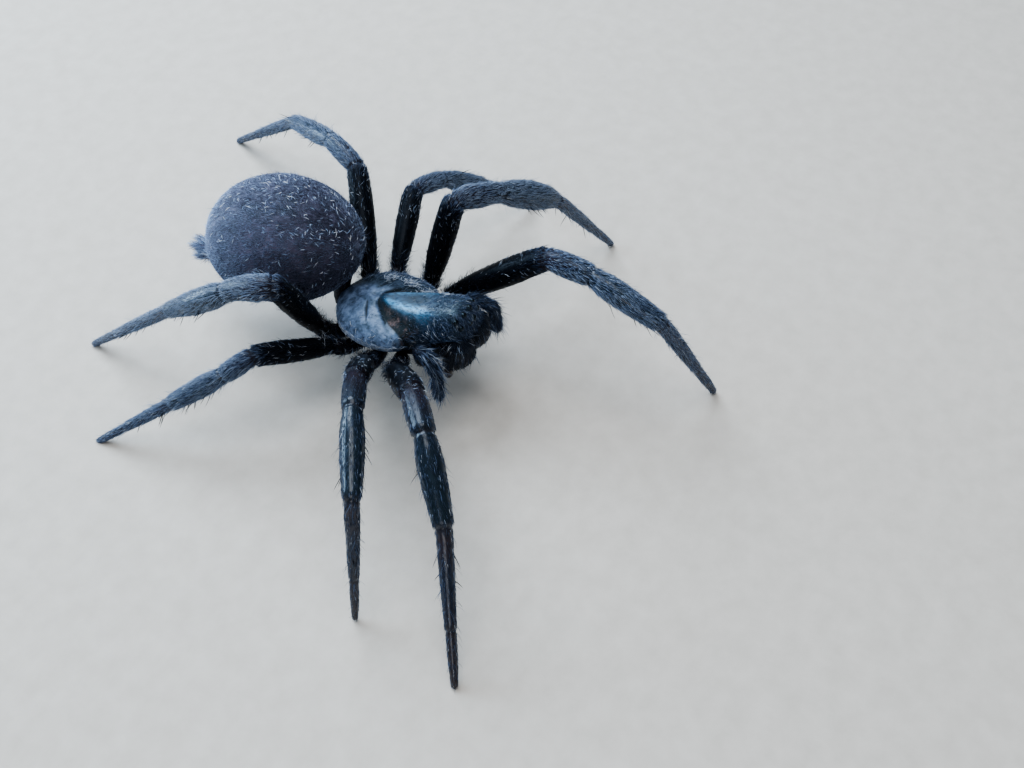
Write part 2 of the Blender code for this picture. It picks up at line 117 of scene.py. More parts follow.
def finish(name, roughness, specular=0.5, **sockets):
    # a material with one Principled shader, and its node tree
    made = bpy.data.materials.new(name)
    made.use_nodes = True
    shader = made.node_tree.nodes["Principled BSDF"]
    shader.inputs["Roughness"].default_value = roughness
    shader.inputs["Specular IOR Level"].default_value = specular
    for socket, value in sockets.items():
        shader.inputs[socket.replace("_", " ")].default_value = value
    return made, made.node_tree, shader


def noise(tree, place, scale, detail=3.0, roughness=0.55):
    made = node(tree, "TexNoise", Scale=scale, Detail=detail, Roughness=roughness, Vector=place)
    return made.outputs["Fac"]


def object_place(tree):
    return node(tree, "TexCoord").outputs["Object"]


def ramp(tree, factor, *stops):
    # a colour ramp: each stop is (position, colour)
    made = node(tree, "ValToRGB", Fac=factor)
    band = made.color_ramp
    while len(band.elements) < len(stops):
        band.elements.new(0.5)
    for element, (position, colour) in zip(band.elements, stops):
        element.position = position
        element.color = (*colour, 1.0)
    return made.outputs["Color"]


def maths(tree, operation, first, second=0.5, third=0.5):
    made = tree.nodes.new("ShaderNodeMath")
    made.operation = operation
    for socket, value in zip(made.inputs, (first, second, third)):
        if isinstance(value, bpy.types.NodeSocket):
            tree.links.new(value, socket)
        else:
            socket.default_value = value
    return made.outputs[0]


def blend_colours(tree, factor, first, second, way="MIX"):
    made = tree.nodes.new("ShaderNodeMix")
    made.data_type = "RGBA"
    made.blend_type = way
    for index, value in ((0, factor), (6, first), (7, second)):
        if isinstance(value, bpy.types.NodeSocket):
            tree.links.new(value, made.inputs[index])
        elif index:
            made.inputs[index].default_value = (*value, 1.0)
        else:
            made.inputs[index].default_value = value
    return made.outputs[2]


board, board_tree, board_shader = finish("pale_board", 0.75, specular=0.25)
grain = noise(board_tree, object_place(board_tree), 900.0, detail=4.0)
board_tree.links.new(ramp(board_tree, grain, (0.3, (0.50, 0.475, 0.44)), (0.7, (0.56, 0.535, 0.50))),
                     board_shader.inputs["Base Color"])
floor_form = bmesh.new()
bmesh.ops.create_grid(floor_form, x_segments=1, y_segments=1, size=900 * MM)
floor_mesh = bpy.data.meshes.new("floor")
floor_form.to_mesh(floor_mesh)
floor_form.free()
floor_mesh.materials.append(board)
floor = bpy.data.objects.new("floor", floor_mesh)
bpy.context.scene.collection.objects.link(floor)


# Legs and palps, as bare limbs. Each is one hollow sleeve of hard skin in life, stiff along its
# segments and pinched at the joints, so each is one closed form laid along the rings of its solids.
ROWS_PER_LIMB = 150
SIDES_PER_LIMB = 28
FOURTH_RING = 4
COXA_SHARE = 0.7
# Share of the limb's markings used up at each joint: root, coxa, trochanter, knee, shin, ankle, heel, toe
LEG_MARKS = (0.0, 0.06, 0.1, 0.35, 0.48, 0.68, 0.88, 1.0)
PALP_MARKS = (0.0, 0.06, 0.1, 0.4, 0.48, 0.6, 0.88, 1.0)
# Room left for the coat along a limb, in mm: shallow on the thigh, deep from the knee to the heel
COAT_DEPTHS = ((0.0, 0.33, 0.40, 0.85, 1.0), (0.04, 0.04, 0.075, 0.075, 0.045))


def in_order(verts):
    # in the mesh's own order, because a set's order, and so the last digit of a sum, differs each run
    return sorted(verts, key=lambda vert: vert.index)


def middle_of(verts):
    return sum((vert.co for vert in verts), Vector()) / len(verts)


def solid_rings(name, start):
    # centre and radius of each ring of vertices along a solid limb, from its end nearest to start
    shape = bmesh.new()
    shape.from_mesh(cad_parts[name].data)
    bmesh.ops.remove_doubles(shape, verts=shape.verts, dist=1e-6)
    shape.verts.index_update()
    shape.normal_update()
    caps = []
    waiting = set(shape.faces)
    for first in shape.faces:
        if first not in waiting:
            continue
        waiting.remove(first)
        patch = [first]
        for face in patch:
            for edge in face.edges:
                for other in edge.link_faces:
                    if other in waiting and other.normal.dot(face.normal) > 0.9999:
                        waiting.remove(other)
                        patch.append(other)
        caps.append(in_order({vert for face in patch for vert in face.verts}))
    caps = [cap for cap in caps if len(cap) >= 8]
    layer = min(caps, key=lambda cap: (middle_of(cap) - start).length)
    seen = set(layer)
    rings = []
    while len(layer) >= 8:
        centre = middle_of(layer)
        rings.append((centre, sum((vert.co - centre).length for vert in layer) / len(layer)))
        layer = in_order({edge.other_vert(vert) for vert in layer for edge in vert.link_edges} - seen)
        seen.update(layer)
    shape.free()
    return rings


def smoothed(values, window):
    # a running mean over rows that keeps the ends where they are
    reach = window // 2
    padded = np.concatenate([np.repeat(values[:1], reach, axis=0), values,
                             np.repeat(values[-1:], reach, axis=0)])
    kernel = np.ones(2 * reach + 1) / (2 * reach + 1)
    return np.stack([np.convolve(column, kernel, mode="valid") for column in padded.T], axis=1)


def unit(vectors):
    return vectors / np.maximum(np.linalg.norm(vectors, axis=-1, keepdims=True), 1e-12)


class Limb:
    # the course of one limb: a centre, radius, directions and marking for each row of its form
    def __init__(self, centres, radii, joints, marks):
        run = np.concatenate([[0.0], np.cumsum(np.linalg.norm(np.diff(centres, axis=0), axis=1))])
        self.joints = joints = np.array([0.0, *joints, run[-1]])
        fine = np.linspace(0.0, run[-1], 800)
        crowd = 1.0 + 2.5 * sum(np.exp(-((fine - joint) / (0.3 * MM)) ** 2) for joint in joints[1:-1])
        filled = np.concatenate([[0.0], np.cumsum((crowd[1:] + crowd[:-1]) / 2)])
        self.run = np.interp(np.linspace(0.0, filled[-1], ROWS_PER_LIMB + 1), filled, fine)
        courses = np.stack([np.interp(fine, run, column) for column in (*centres.T, radii)], axis=1)
        step = fine[1]
        courses = smoothed(courses, int(0.45 * MM / step))
        headings = unit(smoothed(unit(np.gradient(courses[:, :3], axis=0)), int(1.2 * MM / step)))
        self.centres = np.stack([np.interp(self.run, fine, column) for column in courses[:, :3].T], axis=1)
        self.headings = unit(np.stack([np.interp(self.run, fine, c) for c in headings.T], axis=1))
        self.marks = np.interp(self.run, self.joints, marks)
        self.radii = np.interp(self.run, fine, courses[:, 3]) - np.interp(self.marks, *COAT_DEPTHS) * MM
        self.pinch = sum(np.exp(-((self.run - joint) / (0.10 * MM)) ** 2) for joint in joints[1:-1])
        collar = sum(np.exp(-((self.run - joint + 0.25 * MM) / (0.13 * MM)) ** 2) for joint in joints[2:-1])
        neck = sum(np.exp(-((self.run - joint - 0.3 * MM) / (0.22 * MM)) ** 2) for joint in joints[2:-1])
        self.radii *= 1.0 - 0.17 * np.minimum(self.pinch, 1.0) + 0.045 * collar - 0.06 * neck
        left = np.maximum(0.0, run[-1] - self.run)
        tip = self.radii[-12]
        self.radii *= np.sqrt(1.0 - np.clip(1.0 - left / tip, 0.0, 1.0) ** 2)
        upward = Vector((0, 0, 1))
        self.tops = []
        for heading in self.headings:
            heading = Vector(heading)
            upward = (upward - heading * upward.dot(heading)).normalized()
            self.tops.append(upward)
        self.tops = np.array(self.tops)
        self.edges = np.cross(self.headings, self.tops)


def moulded_ball(segments, rings, mould):
    # a closed form made from a ball: from a vertex's row and its angle round the form, the mould gives
    # its place, the lie of the hair there, the marking, and the depth of a joint or furrow
    form = bmesh.new()
    form.loops.layers.uv.new("unwrap")
    lie = form.verts.layers.float_vector.new("lie")
    mark = form.verts.layers.float.new("mark")
    furrow = form.verts.layers.float.new("furrow")
    bmesh.ops.create_uvsphere(form, u_segments=segments, v_segments=rings, radius=1.0, calc_uvs=True)
    for vert in form.verts:
        x, y, z = vert.co
        row = round(math.acos(max(-1.0, min(1.0, z))) / math.pi * rings)
        vert.co, vert[lie], vert[mark], vert[furrow] = mould(row, math.atan2(y, x))
    if form.calc_volume(signed=True) < 0:
        bmesh.ops.reverse_faces(form, faces=form.faces)
    form.normal_update()
    return form


def limb_form(limb):
    def mould(row, angle):
        outward = limb.tops[row] * math.cos(angle) + limb.edges[row] * math.sin(angle)
        place = Vector(limb.centres[row] + outward * limb.radii[row])
        place.z = max(place.z, 0.0)
        return place, Vector(limb.headings[row]), limb.marks[row], min(1.0, limb.pinch[row])

    return moulded_ball(SIDES_PER_LIMB, ROWS_PER_LIMB, mould)


low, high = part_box("carapace")
BODY = Vector(((low.x + high.x) / 2, high.y - 3.2 * MM, low.z - 0.18 * MM))
limbs = {}
for label in ("L1", "L2", "L3", "L4", "R1", "R2", "R3", "R4"):
    rings = []
    starts = []
    start = BODY
    for part in ("hip", "femur", "tibia", "foot"):
        starts.append(len(rings))
        rings += solid_rings(f"leg_{label}_{part}", start)
        start = rings[-1][0]
    centres = np.array([ring[0] for ring in rings])
    run = np.concatenate([[0.0], np.cumsum(np.linalg.norm(np.diff(centres, axis=0), axis=1))])
    hip, knee, ankle = [(run[index - 1] + run[index]) / 2 for index in starts[1:]]
    joints = (hip * COXA_SHARE, hip, knee, run[starts[2] + FOURTH_RING], ankle,
              run[starts[3] + FOURTH_RING])
    limbs[label] = Limb(centres, np.array([ring[1] for ring in rings]), joints, LEG_MARKS)
PALP_ROOT = ((2.2, 0.62, -0.55), (2.65, 1.68, -0.4))
PALP_LENGTHS = (1.55, 0.65, 0.85, 1.6)
PALP_RISES = {"R": ((25, 68), (80, -15), (80, -62), (40, -72)),
              "L": ((57, 62), (84, 20), (88, -14), (110, -80))}
PALP_RADII = (0.36, 0.36, 0.39, 0.37, 0.37, 0.36, 0.33, 0.25)
for letter, hand in (("L", 1), ("R", -1)):
    corners = [BODY + Vector((hand * side, -forward, up)) * MM for forward, side, up in PALP_ROOT]
    for length, (turn, rise) in zip(PALP_LENGTHS, PALP_RISES[letter]):
        turn = math.radians(turn)
        rise = math.radians(rise)
        aim = Vector((hand * math.cos(turn) * math.cos(rise), -math.sin(turn) * math.cos(rise),
                      math.sin(rise)))
        corners.append(corners[-1] + aim * length * MM)
    corners.insert(5, corners[4].lerp(corners[5], 0.35))
    corners.insert(6, corners[4].lerp(corners[6], 0.75))
    centres = np.array([tuple(corner) for corner in corners])
    run = np.concatenate([[0.0], np.cumsum(np.linalg.norm(np.diff(centres, axis=0), axis=1))])
    joints = (run[1] * 0.7, run[1], run[2], run[3], run[4], run[7] * 0.98)
    limbs[f"palp_{letter}"] = Limb(centres, np.array(PALP_RADII) * MM, joints, PALP_MARKS)
limb_forms = {label: limb_form(limb) for label, limb in limbs.items()}


# Abdomen. A soft, full, egg-shaped bag of velvety skin, widest behind its middle, with shallow dents
# over the muscles inside. It hangs from the waist with its tail a little down and to the right.
ABDOMEN_SIDES = 112
ABDOMEN_ROWS = 80
ABDOMEN_CENTRE = (-6.65, 0.33, 2.2)
ABDOMEN_SIZE = (7.2, 8.8, 6.7)
ABDOMEN_COAT = 0.10
ABDOMEN_UNDERSIDE = 0.94
DENTS = ((0.25, 0.28), (0.05, 0.34), (-0.2, 0.3), (-0.42, 0.22))
DENT_DEPTH = 0.025
DENT_WIDTH = 0.07

hang = Matrix.Rotation(math.radians(8), 3, "Z") @ Matrix.Rotation(math.radians(-8), 3, "X")
abdomen_half = [size / 2 - ABDOMEN_COAT for size in ABDOMEN_SIZE]


def body_place(forward, side, up):
    # a point given in mm from the middle of the front body
    return BODY + Vector((side, -forward, up)) * MM


def abdomen_mould(row, angle):
    # rows run from the front end of the abdomen to its rear
    along = math.cos(row / ABDOMEN_ROWS * math.pi)
    girth = math.sin(row / ABDOMEN_ROWS * math.pi) * (1.0 - 0.05 * along)
    across = math.cos(angle)
    upward = math.sin(angle)
    dent = sum(math.exp(-((along - forward) ** 2 + (abs(across) * girth - side) ** 2) / DENT_WIDTH ** 2)
               for forward, side in DENTS)
    if upward < 0:
        dent = 0.0
    swell = girth * (1.0 - DENT_DEPTH * dent + 0.004 * math.sin(9 * along + 4 * across))
    level = upward * (ABDOMEN_UNDERSIDE if upward < 0 else 1.0)
    offset = hang @ Vector((across * swell * abdomen_half[0], -along * abdomen_half[1],
                            level * swell * abdomen_half[2]))
    return abdomen_middle + offset * MM, hang @ Vector((0, 1, -0.15 * upward)), 0.0, min(1.0, dent)


abdomen_middle = body_place(*ABDOMEN_CENTRE)
abdomen_form = moulded_ball(ABDOMEN_SIDES, ABDOMEN_ROWS, abdomen_mould)


# Body core, waist and spinnerets: the softer skin under the back shield that the hips and palps grow
# from, the narrow waist that carries the abdomen, and six finger-like spinnerets on a low cone.
def straight_sleeve(points, radii, segments, rings, mark):
    # a closed form along a short course of points
    points = np.array([tuple(point) for point in points])
    run = np.concatenate([[0.0], np.cumsum(np.linalg.norm(np.diff(points, axis=0), axis=1))])
    rows = run[-1] * (0.5 - 0.5 * np.cos(np.linspace(0, math.pi, rings + 1)))
    centres = np.stack([np.interp(rows, run, column) for column in points.T], axis=1)
    headings = unit(np.gradient(centres, axis=0))
    sizes = np.interp(rows, run, radii)
    end = np.minimum(rows, run[-1] - rows) / sizes
    sizes = sizes * np.sqrt(1.0 - np.clip(1.0 - end, 0.0, 1.0) ** 2)
    upward = np.array((0.0, 0.0, 1.0))
    tops = unit(upward - headings * (headings @ upward)[:, None])
    edges = np.cross(headings, tops)

    def mould(row, angle):
        outward = tops[row] * math.cos(angle) + edges[row] * math.sin(angle)
        return Vector(centres[row] + outward * sizes[row]), Vector(headings[row]), mark, 0.0

    return moulded_ball(segments, rings, mould)


CORE_ROWS = 24
LOBE_ROWS = 24


def core_mould(row, angle):
    along = math.cos(row / CORE_ROWS * math.pi)
    girth = (1.0 - along ** 6) ** 0.5
    width = 1.95 if along < 0.2 else 1.95 - 0.9 * min(1.0, (along - 0.2) / 0.6)
    place = body_place(0.75 + along * 3.55, math.cos(angle) * girth * width,
                       -0.12 + 0.42 * math.sin(angle) * girth)
    return place, Vector((0, 1, 0)), 0.02, 0.0


def lobe(forward, side, up, size, mark=0.02):
    # an egg-shaped swelling: the size is its half-lengths across, along and up
    def mould(row, angle):
        along = math.cos(row / LOBE_ROWS * math.pi)
        girth = math.sin(row / LOBE_ROWS * math.pi)
        place = body_place(forward + along * size[1], side + math.cos(angle) * girth * size[0],
                           up + math.sin(angle) * girth * size[2])
        return place, Vector((0, -1, -0.4)), mark, 0.0

    return moulded_ball(28, LOBE_ROWS, mould)


core_form = moulded_ball(40, CORE_ROWS, core_mould)
cheek_forms = [lobe(2.95, hand * 0.86, 0.42, (0.46, 1.15, 0.85)) for hand in (1, -1)]
waist_rear = abdomen_middle + hang @ Vector((0, -3.1, -1.1)) * MM
waist_form = straight_sleeve([body_place(-2.0, 0.0, -0.3), body_place(-3.4, 0.05, -0.42), waist_rear],
                             [0.45 * MM, 0.36 * MM, 0.6 * MM], 24, 30, 0.03)
spinner_root = body_place(-11.1, -0.8, 0.45)
spinner_forms = [straight_sleeve([spinner_root - hang @ Vector((0, 1.1, -0.1)) * MM,
                                  spinner_root + hang @ Vector((0, 0.3, 0)) * MM],
                                 [0.85 * MM, 0.5 * MM], 28, 16, 0.0)]
SPINNERETS = ((0.72, 0.21, 0.24, -0.22), (0.48, 0.13, 0.11, 0.0), (0.77, 0.17, 0.19, 0.24))
for length, radius, side, level in SPINNERETS:
    for hand in (1, -1):
        base = spinner_root + hang @ Vector((hand * side, 0.0, level)) * MM
        aim = (hang @ Vector((hand * side * 0.6, 1.0, level * 0.6))).normalized() * length * MM
        spinner_forms.append(straight_sleeve([base, base + aim * 0.55, base + aim],
                                             [radius * MM, radius * 0.9 * MM, radius * 0.5 * MM],
                                             16, 18, 0.0))


# Skin. Limbs, core, waist, abdomen and spinnerets are fused into one skin with no seam: hard, glossy
# and blue-black on the limbs, soft and velvety on the abdomen.
def shell_grain_group():
    # fine pits and wrinkles of hard skin, and a slow change of tone across it
    group = bpy.data.node_groups.new("shell grain", "ShaderNodeTree")
    group.interface.new_socket("Place", in_out="INPUT", socket_type="NodeSocketVector")
    group.interface.new_socket("Pit Scale", in_out="INPUT", socket_type="NodeSocketFloat")
    group.interface.new_socket("Height", in_out="OUTPUT", socket_type="NodeSocketFloat")
    group.interface.new_socket("Tone", in_out="OUTPUT", socket_type="NodeSocketFloat")
    entry = group.nodes.new("NodeGroupInput")
    leave = group.nodes.new("NodeGroupOutput")
    pits = node(group, "TexVoronoi", Vector=entry.outputs["Place"], Scale=entry.outputs["Pit Scale"])
    bowl = maths(group, "SMOOTH_MIN", pits.outputs["Distance"], 0.35, 0.15)
    wrinkle = noise(group, entry.outputs["Place"], 5200.0, detail=3.0)
    group.links.new(maths(group, "MULTIPLY_ADD", wrinkle, 0.5, bowl), leave.inputs["Height"])
    group.links.new(noise(group, entry.outputs["Place"], 900.0, detail=2.0), leave.inputs["Tone"])
    return group


shell_grain = shell_grain_group()


def grained(tree, scale):
    made = tree.nodes.new("ShaderNodeGroup")
    made.node_tree = shell_grain
    made.inputs["Pit Scale"].default_value = scale
    tree.links.new(object_place(tree), made.inputs["Place"])
    return made.outputs["Height"], made.outputs["Tone"]


def bump(tree, shader, height, strength, distance):
    made = node(tree, "Bump", Strength=strength, Distance=distance, Height=height)
    tree.links.new(made.outputs["Normal"], shader.inputs["Normal"])


def attribute(tree, name):
    return node(tree, "Attribute", {"attribute_name": name}).outputs["Fac"]


BLUE_GLINT = (0.62, 0.78, 1.0, 1.0)
CYAN_GLINT = (0.50, 0.80, 1.0, 1.0)


def limb_finish(name, specular):
    made, tree, shader = finish(name, 0.4, specular=specular, Specular_Tint=BLUE_GLINT,
                                Coat_Roughness=0.16, Coat_Tint=BLUE_GLINT)
    along_limb = ramp(tree, attribute(tree, "mark"),
                      (0.00, (0.006, 0.005, 0.007)), (0.12, (0.0020, 0.0025, 0.004)),
                      (0.33, (0.0025, 0.003, 0.005)), (0.37, (0.014, 0.009, 0.015)),
                      (0.50, (0.006, 0.012, 0.018)), (0.66, (0.006, 0.014, 0.018)),
                      (0.70, (0.030, 0.017, 0.018)), (0.78, (0.014, 0.017, 0.026)),
                      (0.90, (0.028, 0.018, 0.016)), (1.00, (0.034, 0.020, 0.014)))
    height, tone = grained(tree, 7500.0)
    patchy = blend_colours(tree, tone, (0.55, 0.55, 0.6), (1.5, 1.5, 1.4))
    along_limb = blend_colours(tree, 1.0, along_limb, patchy, "MULTIPLY")
    joint = maths(tree, "MULTIPLY", attribute(tree, "furrow"), 0.8)
    tree.links.new(blend_colours(tree, joint, along_limb, (0.014, 0.010, 0.011)),
                   shader.inputs["Base Color"])
    tree.links.new(maths(tree, "MULTIPLY_ADD", tone, 0.25, 0.26), shader.inputs["Roughness"])
    polish = node(tree, "MapRange", Value=attribute(tree, "mark"), From_Min=0.40, From_Max=0.52,
                  To_Min=0.02, To_Max=0.65).outputs[0]
    tree.links.new(polish, shader.inputs["Coat Weight"])
    bump(tree, shader, height, 0.35, 0.01 * MM)
    return made


limb_skin = limb_finish("limb_skin", 0.24)
thigh_skin = limb_finish("thigh_skin", 0.10)
THIGH_END = 0.352

abdomen_skin, tree, shader = finish("abdomen_skin", 0.6, specular=0.35, Specular_Tint=BLUE_GLINT,
                                    Sheen_Weight=0.8, Sheen_Roughness=0.45,
                                    Sheen_Tint=(0.50, 0.68, 1.0, 1.0))
place = object_place(tree)
mottle = noise(tree, place, 1500.0, detail=4.0)
cloud = noise(tree, place, 260.0, detail=2.0)
mottled = ramp(tree, mottle, (0.32, (0.014, 0.012, 0.020)), (0.55, (0.048, 0.042, 0.068)),
               (0.75, (0.11, 0.105, 0.155)))
clouded = blend_colours(tree, 1.0, mottled,
                        ramp(tree, cloud, (0.35, (0.6, 0.6, 0.65)), (0.65, (1.3, 1.25, 1.3))), "MULTIPLY")
dent = attribute(tree, "furrow")
tree.links.new(blend_colours(tree, maths(tree, "MULTIPLY", dent, 0.7), clouded, (0.004, 0.004, 0.006)),
               shader.inputs["Base Color"])
bump(tree, shader, noise(tree, place, 9000.0, detail=3.0), 0.8, 0.03 * MM)


def piece(name, form, materials):
    # a finished object from a form, at the origin, riding on the body
    mesh = bpy.data.meshes.new(name)
    form.to_mesh(mesh)
    mesh.shade_smooth()
    for material in materials:
        mesh.materials.append(material)
    made = bpy.data.objects.new(name, mesh)
    bpy.context.scene.collection.objects.link(made)
    return made


def fused(name, forms, materials):
    # one closed piece from closed forms that run into each other
    parts = bpy.data.collections.new(f"{name}_parts")
    bpy.context.scene.collection.children.link(parts)
    body = piece(name, forms[0], materials)
    others = [piece(f"{name}_part_{index}", form, materials) for index, form in enumerate(forms[1:])]
    for other in others:
        parts.objects.link(other)
        bpy.context.scene.collection.objects.unlink(other)
    union = body.modifiers.new("union", "BOOLEAN")
    union.operation = "UNION"
    union.operand_type = "COLLECTION"
    union.collection = parts
    union.solver = "MANIFOLD"
    bpy.context.view_layer.update()
    shape = bpy.data.meshes.new_from_object(body.evaluated_get(bpy.context.evaluated_depsgraph_get()))
    body.modifiers.clear()
    body.data = shape
    for other in others:
        bpy.data.objects.remove(other, do_unlink=True)
    bpy.data.collections.remove(parts)
    return body


for form in (abdomen_form, *spinner_forms):
    for face in form.faces:
        face.material_index = 1
for form in limb_forms.values():
    mark = form.verts.layers.float["mark"]
    for face in form.faces:
        face.material_index = 2 if face.verts[0][mark] < THIGH_END else 0
skin = fused("skin", [core_form, *cheek_forms, waist_form, abdomen_form, *spinner_forms,
                      *limb_forms.values()], [limb_skin, abdomen_skin, thigh_skin])
limb_nodes = [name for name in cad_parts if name.startswith(("leg_", "palp_"))]
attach(skin, "root")
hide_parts("abdomen", "pedicel", "spinnerets", *limb_nodes)


# Back shield. One hard, glossy plate over the front body: a low disc with furrows that run out from
# its middle, and a high, narrow head in front of a deep curved furrow.
SHIELD_ROWS = 240
SHIELD_SEGMENTS = 208
# Half-width along the body, height of the flanks, and the head raised on them: (forward, mm)
SHIELD_WIDTH = ((-3.2, 1.15), (-2.5, 1.85), (-1.8, 2.3), (-0.8, 2.6), (0.2, 2.65), (1.2, 2.4),
                (1.9, 1.8), (2.5, 1.35), (3.2, 1.32), (4.0, 1.42), (4.7, 1.35))
SHIELD_FLANK = ((-3.2, 0.3), (-2.5, 0.6), (-1.8, 0.85), (-0.8, 1.0), (0.2, 1.05), (1.2, 1.05),
                (2.2, 1.55), (3.2, 2.3), (4.0, 2.65), (4.7, 2.6))
SHIELD_BASE = ((2.2, 0.2), (3.3, 0.95), (4.0, 1.6), (4.9, 1.65))
SHIELD_SQUARENESS = ((1.2, 2.2), (3.2, 4.0))
HEAD_RISE = ((-0.9, 0.0), (0.2, 0.28), (1.2, 0.64), (2.2, 0.5), (3.2, 0.1), (4.0, 0.0))
HEAD_HALF_WIDTH = ((-0.9, 0.12), (0.2, 0.85), (1.2, 1.25), (2.2, 1.55), (3.2, 1.9))
# Furrows as curves through (forward, side), (forward, side) handles and the far end, with depth,
# half-width and how black they are
FURROWS = (
    (((-1.3, 0.0), (-1.1, 0.0), (-0.8, 0.0), (-0.55, 0.0)), 0.10, 0.13, 0.35),
    (((-0.72, 0.12), (-0.55, 0.60), (-0.05, 0.85), (0.42, 1.40)), 0.17, 0.10, 1.0),
    (((-1.2, 0.52), (-1.05, 0.9), (-0.8, 1.25), (-0.6, 1.65)), 0.08, 0.055, 0.9),
    (((-1.7, 0.4), (-1.85, 0.6), (-1.95, 0.8), (-2.1, 1.1)), 0.03, 0.09, 0.15),
)
HOLLOW_MIDDLE = (0.8, 1.4)
HOLLOW_DEPTH = 0.12
HOLLOW_REACH = 0.5


def body_curve(table):
    # a smooth curve along the body through a table of (forward, value) pairs
    grid = np.linspace(-3.3, 5.0, 416)
    values = np.interp(grid, *zip(*table))[:, None]
    for _ in range(2):
        values = smoothed(values, 28)
    return lambda forward: float(np.interp(forward, grid, values[:, 0]))


def smooth_step(value, low, high):
    share = max(0.0, min(1.0, (value - low) / (high - low)))
    return share * share * (3.0 - 2.0 * share)


def near_course(course, forward, side):
    # distance to a course, and how full the furrow is there: it runs out at both ends
    point = Vector((forward, side))
    nearest = (1e9, 0.0)
    for index, (start, end) in enumerate(zip(course, course[1:])):
        along = end - start
        share = max(0.0, min(1.0, (point - start).dot(along) / along.length_squared))
        place = (index + share) / (len(course) - 1)
        nearest = min(nearest, ((point - start - along * share).length, place))
    return nearest[0], math.sin(math.pi * (0.08 + 0.84 * nearest[1])) ** 0.7


shield_width, shield_flank, shield_base, shield_square, head_rise, head_edge = [
    body_curve(table) for table in (SHIELD_WIDTH, SHIELD_FLANK, SHIELD_BASE, SHIELD_SQUARENESS,
                                    HEAD_RISE, HEAD_HALF_WIDTH)]
furrows = [(interpolate_bezier(*[Vector(point) for point in course], 12), *rest)
           for course, *rest in FURROWS]


def shield_mould(row, angle):
    along = math.cos(row / SHIELD_ROWS * math.pi)
    forward = 0.85 + along * 4.05
    fade = math.sqrt(max(0.0, 1.0 - abs(along) ** (14 if along > 0 else 8)))
    width = max(1e-6, shield_width(forward) * fade)
    side = width * math.cos(angle)
    spreading = (shield_width(forward + 0.1) - shield_width(forward - 0.1)) / 0.2
    lie = Vector((max(-1.5, spreading) * math.cos(angle), -1.0, -1.6 * smooth_step(forward, 3.9, 4.6)))
    base = shield_base(forward)
    if math.sin(angle) <= 1e-6:
        return body_place(forward, side, base + 0.02 * math.sin(angle) * fade), lie, 0.0, 0.0
    across = min(1.0, abs(side) / width)
    flank = shield_flank(forward) * (1.0 - across ** shield_square(forward)) ** 0.55
    edge = head_edge(forward)
    head = head_rise(forward) * smooth_step(edge - abs(side), 0.0, 0.6 * edge)
    off_hollow = math.hypot(forward - HOLLOW_MIDDLE[0], abs(side) - HOLLOW_MIDDLE[1]) / HOLLOW_REACH
    depth = HOLLOW_DEPTH * math.exp(-off_hollow ** 2)
    dark = 0.0
    for course, deep, half_width, black in furrows:
        apart, full = near_course(course, forward, abs(side))
        apart = apart / (half_width * full)
        depth += deep * full * math.exp(-apart ** 2)
        dark = max(dark, math.exp(-(0.75 * apart) ** 4) * black)
    rim = 0.05 * math.exp(-((across - 0.985) / 0.02) ** 2) if forward < 1.8 else 0.0
    up = max(base, 0.2 + max(0.0, (flank + head - depth) * fade + rim))
    return body_place(forward, side, up), lie, across, dark


shield_form = moulded_ball(SHIELD_SEGMENTS, SHIELD_ROWS, shield_mould)
for _ in range(2):
    bmesh.ops.smooth_vert(shield_form, verts=shield_form.verts, factor=0.5, use_axis_x=True,
                          use_axis_y=True, use_axis_z=True)
shield_form.normal_update()
# Zones of the shield: the dull rear disc with its painted sheen, the hollow in front of the deep furrow,
# mottled brown and black, the crest along each side of the head with its painted highlight, and the left
# flank, darker as painted shade
GROOVE_START = -0.80
GROOVE_SLANT = 0.75
GROOVE_TURN = 0.85
zones = [shield_form.verts.layers.float.new(name) for name in ("disc", "hollow", "crest", "shaded_left_flank")]
for vert in shield_form.verts:
    forward = (BODY.y - vert.co.y) / MM
    side = abs(vert.co.x - BODY.x) / MM
    edge = head_edge(forward)
    ahead = forward - GROOVE_START - GROOVE_SLANT * side - GROOVE_TURN * smooth_step(side, 1.1, 1.9)
    off_crest = (side - 0.46 * edge) / (0.08 + 0.09 * edge)
    soft = 0.10 + 0.20 * smooth_step(side, 1.0, 1.8)
    vert[zones[0]] = smooth_step(-ahead, -soft, soft)
    vert[zones[1]] = (smooth_step(ahead, -0.05, 0.2) * smooth_step(side, 0.5 * edge, 0.85 * edge)
                      * (1.0 - smooth_step(forward, 1.8, 2.7)))
    vert[zones[2]] = (math.exp(-off_crest ** 2) * smooth_step(forward, -0.5, 0.1)
                      * (0.5 if vert.co.x > BODY.x else 1.0)
                      * (1.0 - smooth_step(forward, 2.2, 3.1)))
    vert[zones[3]] = smooth_step((vert.co.x - BODY.x) / MM, 0.25, 1.0)
shield_skin, tree, shader = finish("shield_skin", 0.4, specular=0.5, Specular_Tint=CYAN_GLINT,
                                   Coat_Roughness=0.25)
height, tone = grained(tree, 5200.0)
place = object_place(tree)
spot = node(tree, "SeparateXYZ", Vector=place)
disc, hollow, crest, shaded_left_flank, furrow = [attribute(tree, name) for name in
                                       ("disc", "hollow", "crest", "shaded_left_flank", "furrow")]
brushed = noise(tree, node(tree, "Mapping", {}, Vector=place, Scale=(1.0, 0.2, 1.0)).outputs[0], 9000.0)
wrinkle = noise(tree, place, 2600.0, detail=5.0, roughness=0.65)
plate = ramp(tree, tone, (0.3, (0.005, 0.016, 0.036)), (0.7, (0.018, 0.055, 0.115)))
streaks = ramp(tree, brushed, (0.35, (0.35, 0.4, 0.45)), (0.65, (1.4, 1.4, 1.4)))
plate = blend_colours(tree, 0.7, plate, streaks, "MULTIPLY")
# Painted highlight: cyan-white brushed streaks along the crest of the head, half as strong on the left
painted_glint_streaks = ramp(tree, brushed, (0.36, (0.12, 0.12, 0.12)), (0.60, (0.95, 0.95, 0.95)))
painted_crest_highlight = maths(tree, "MULTIPLY", crest, painted_glint_streaks)
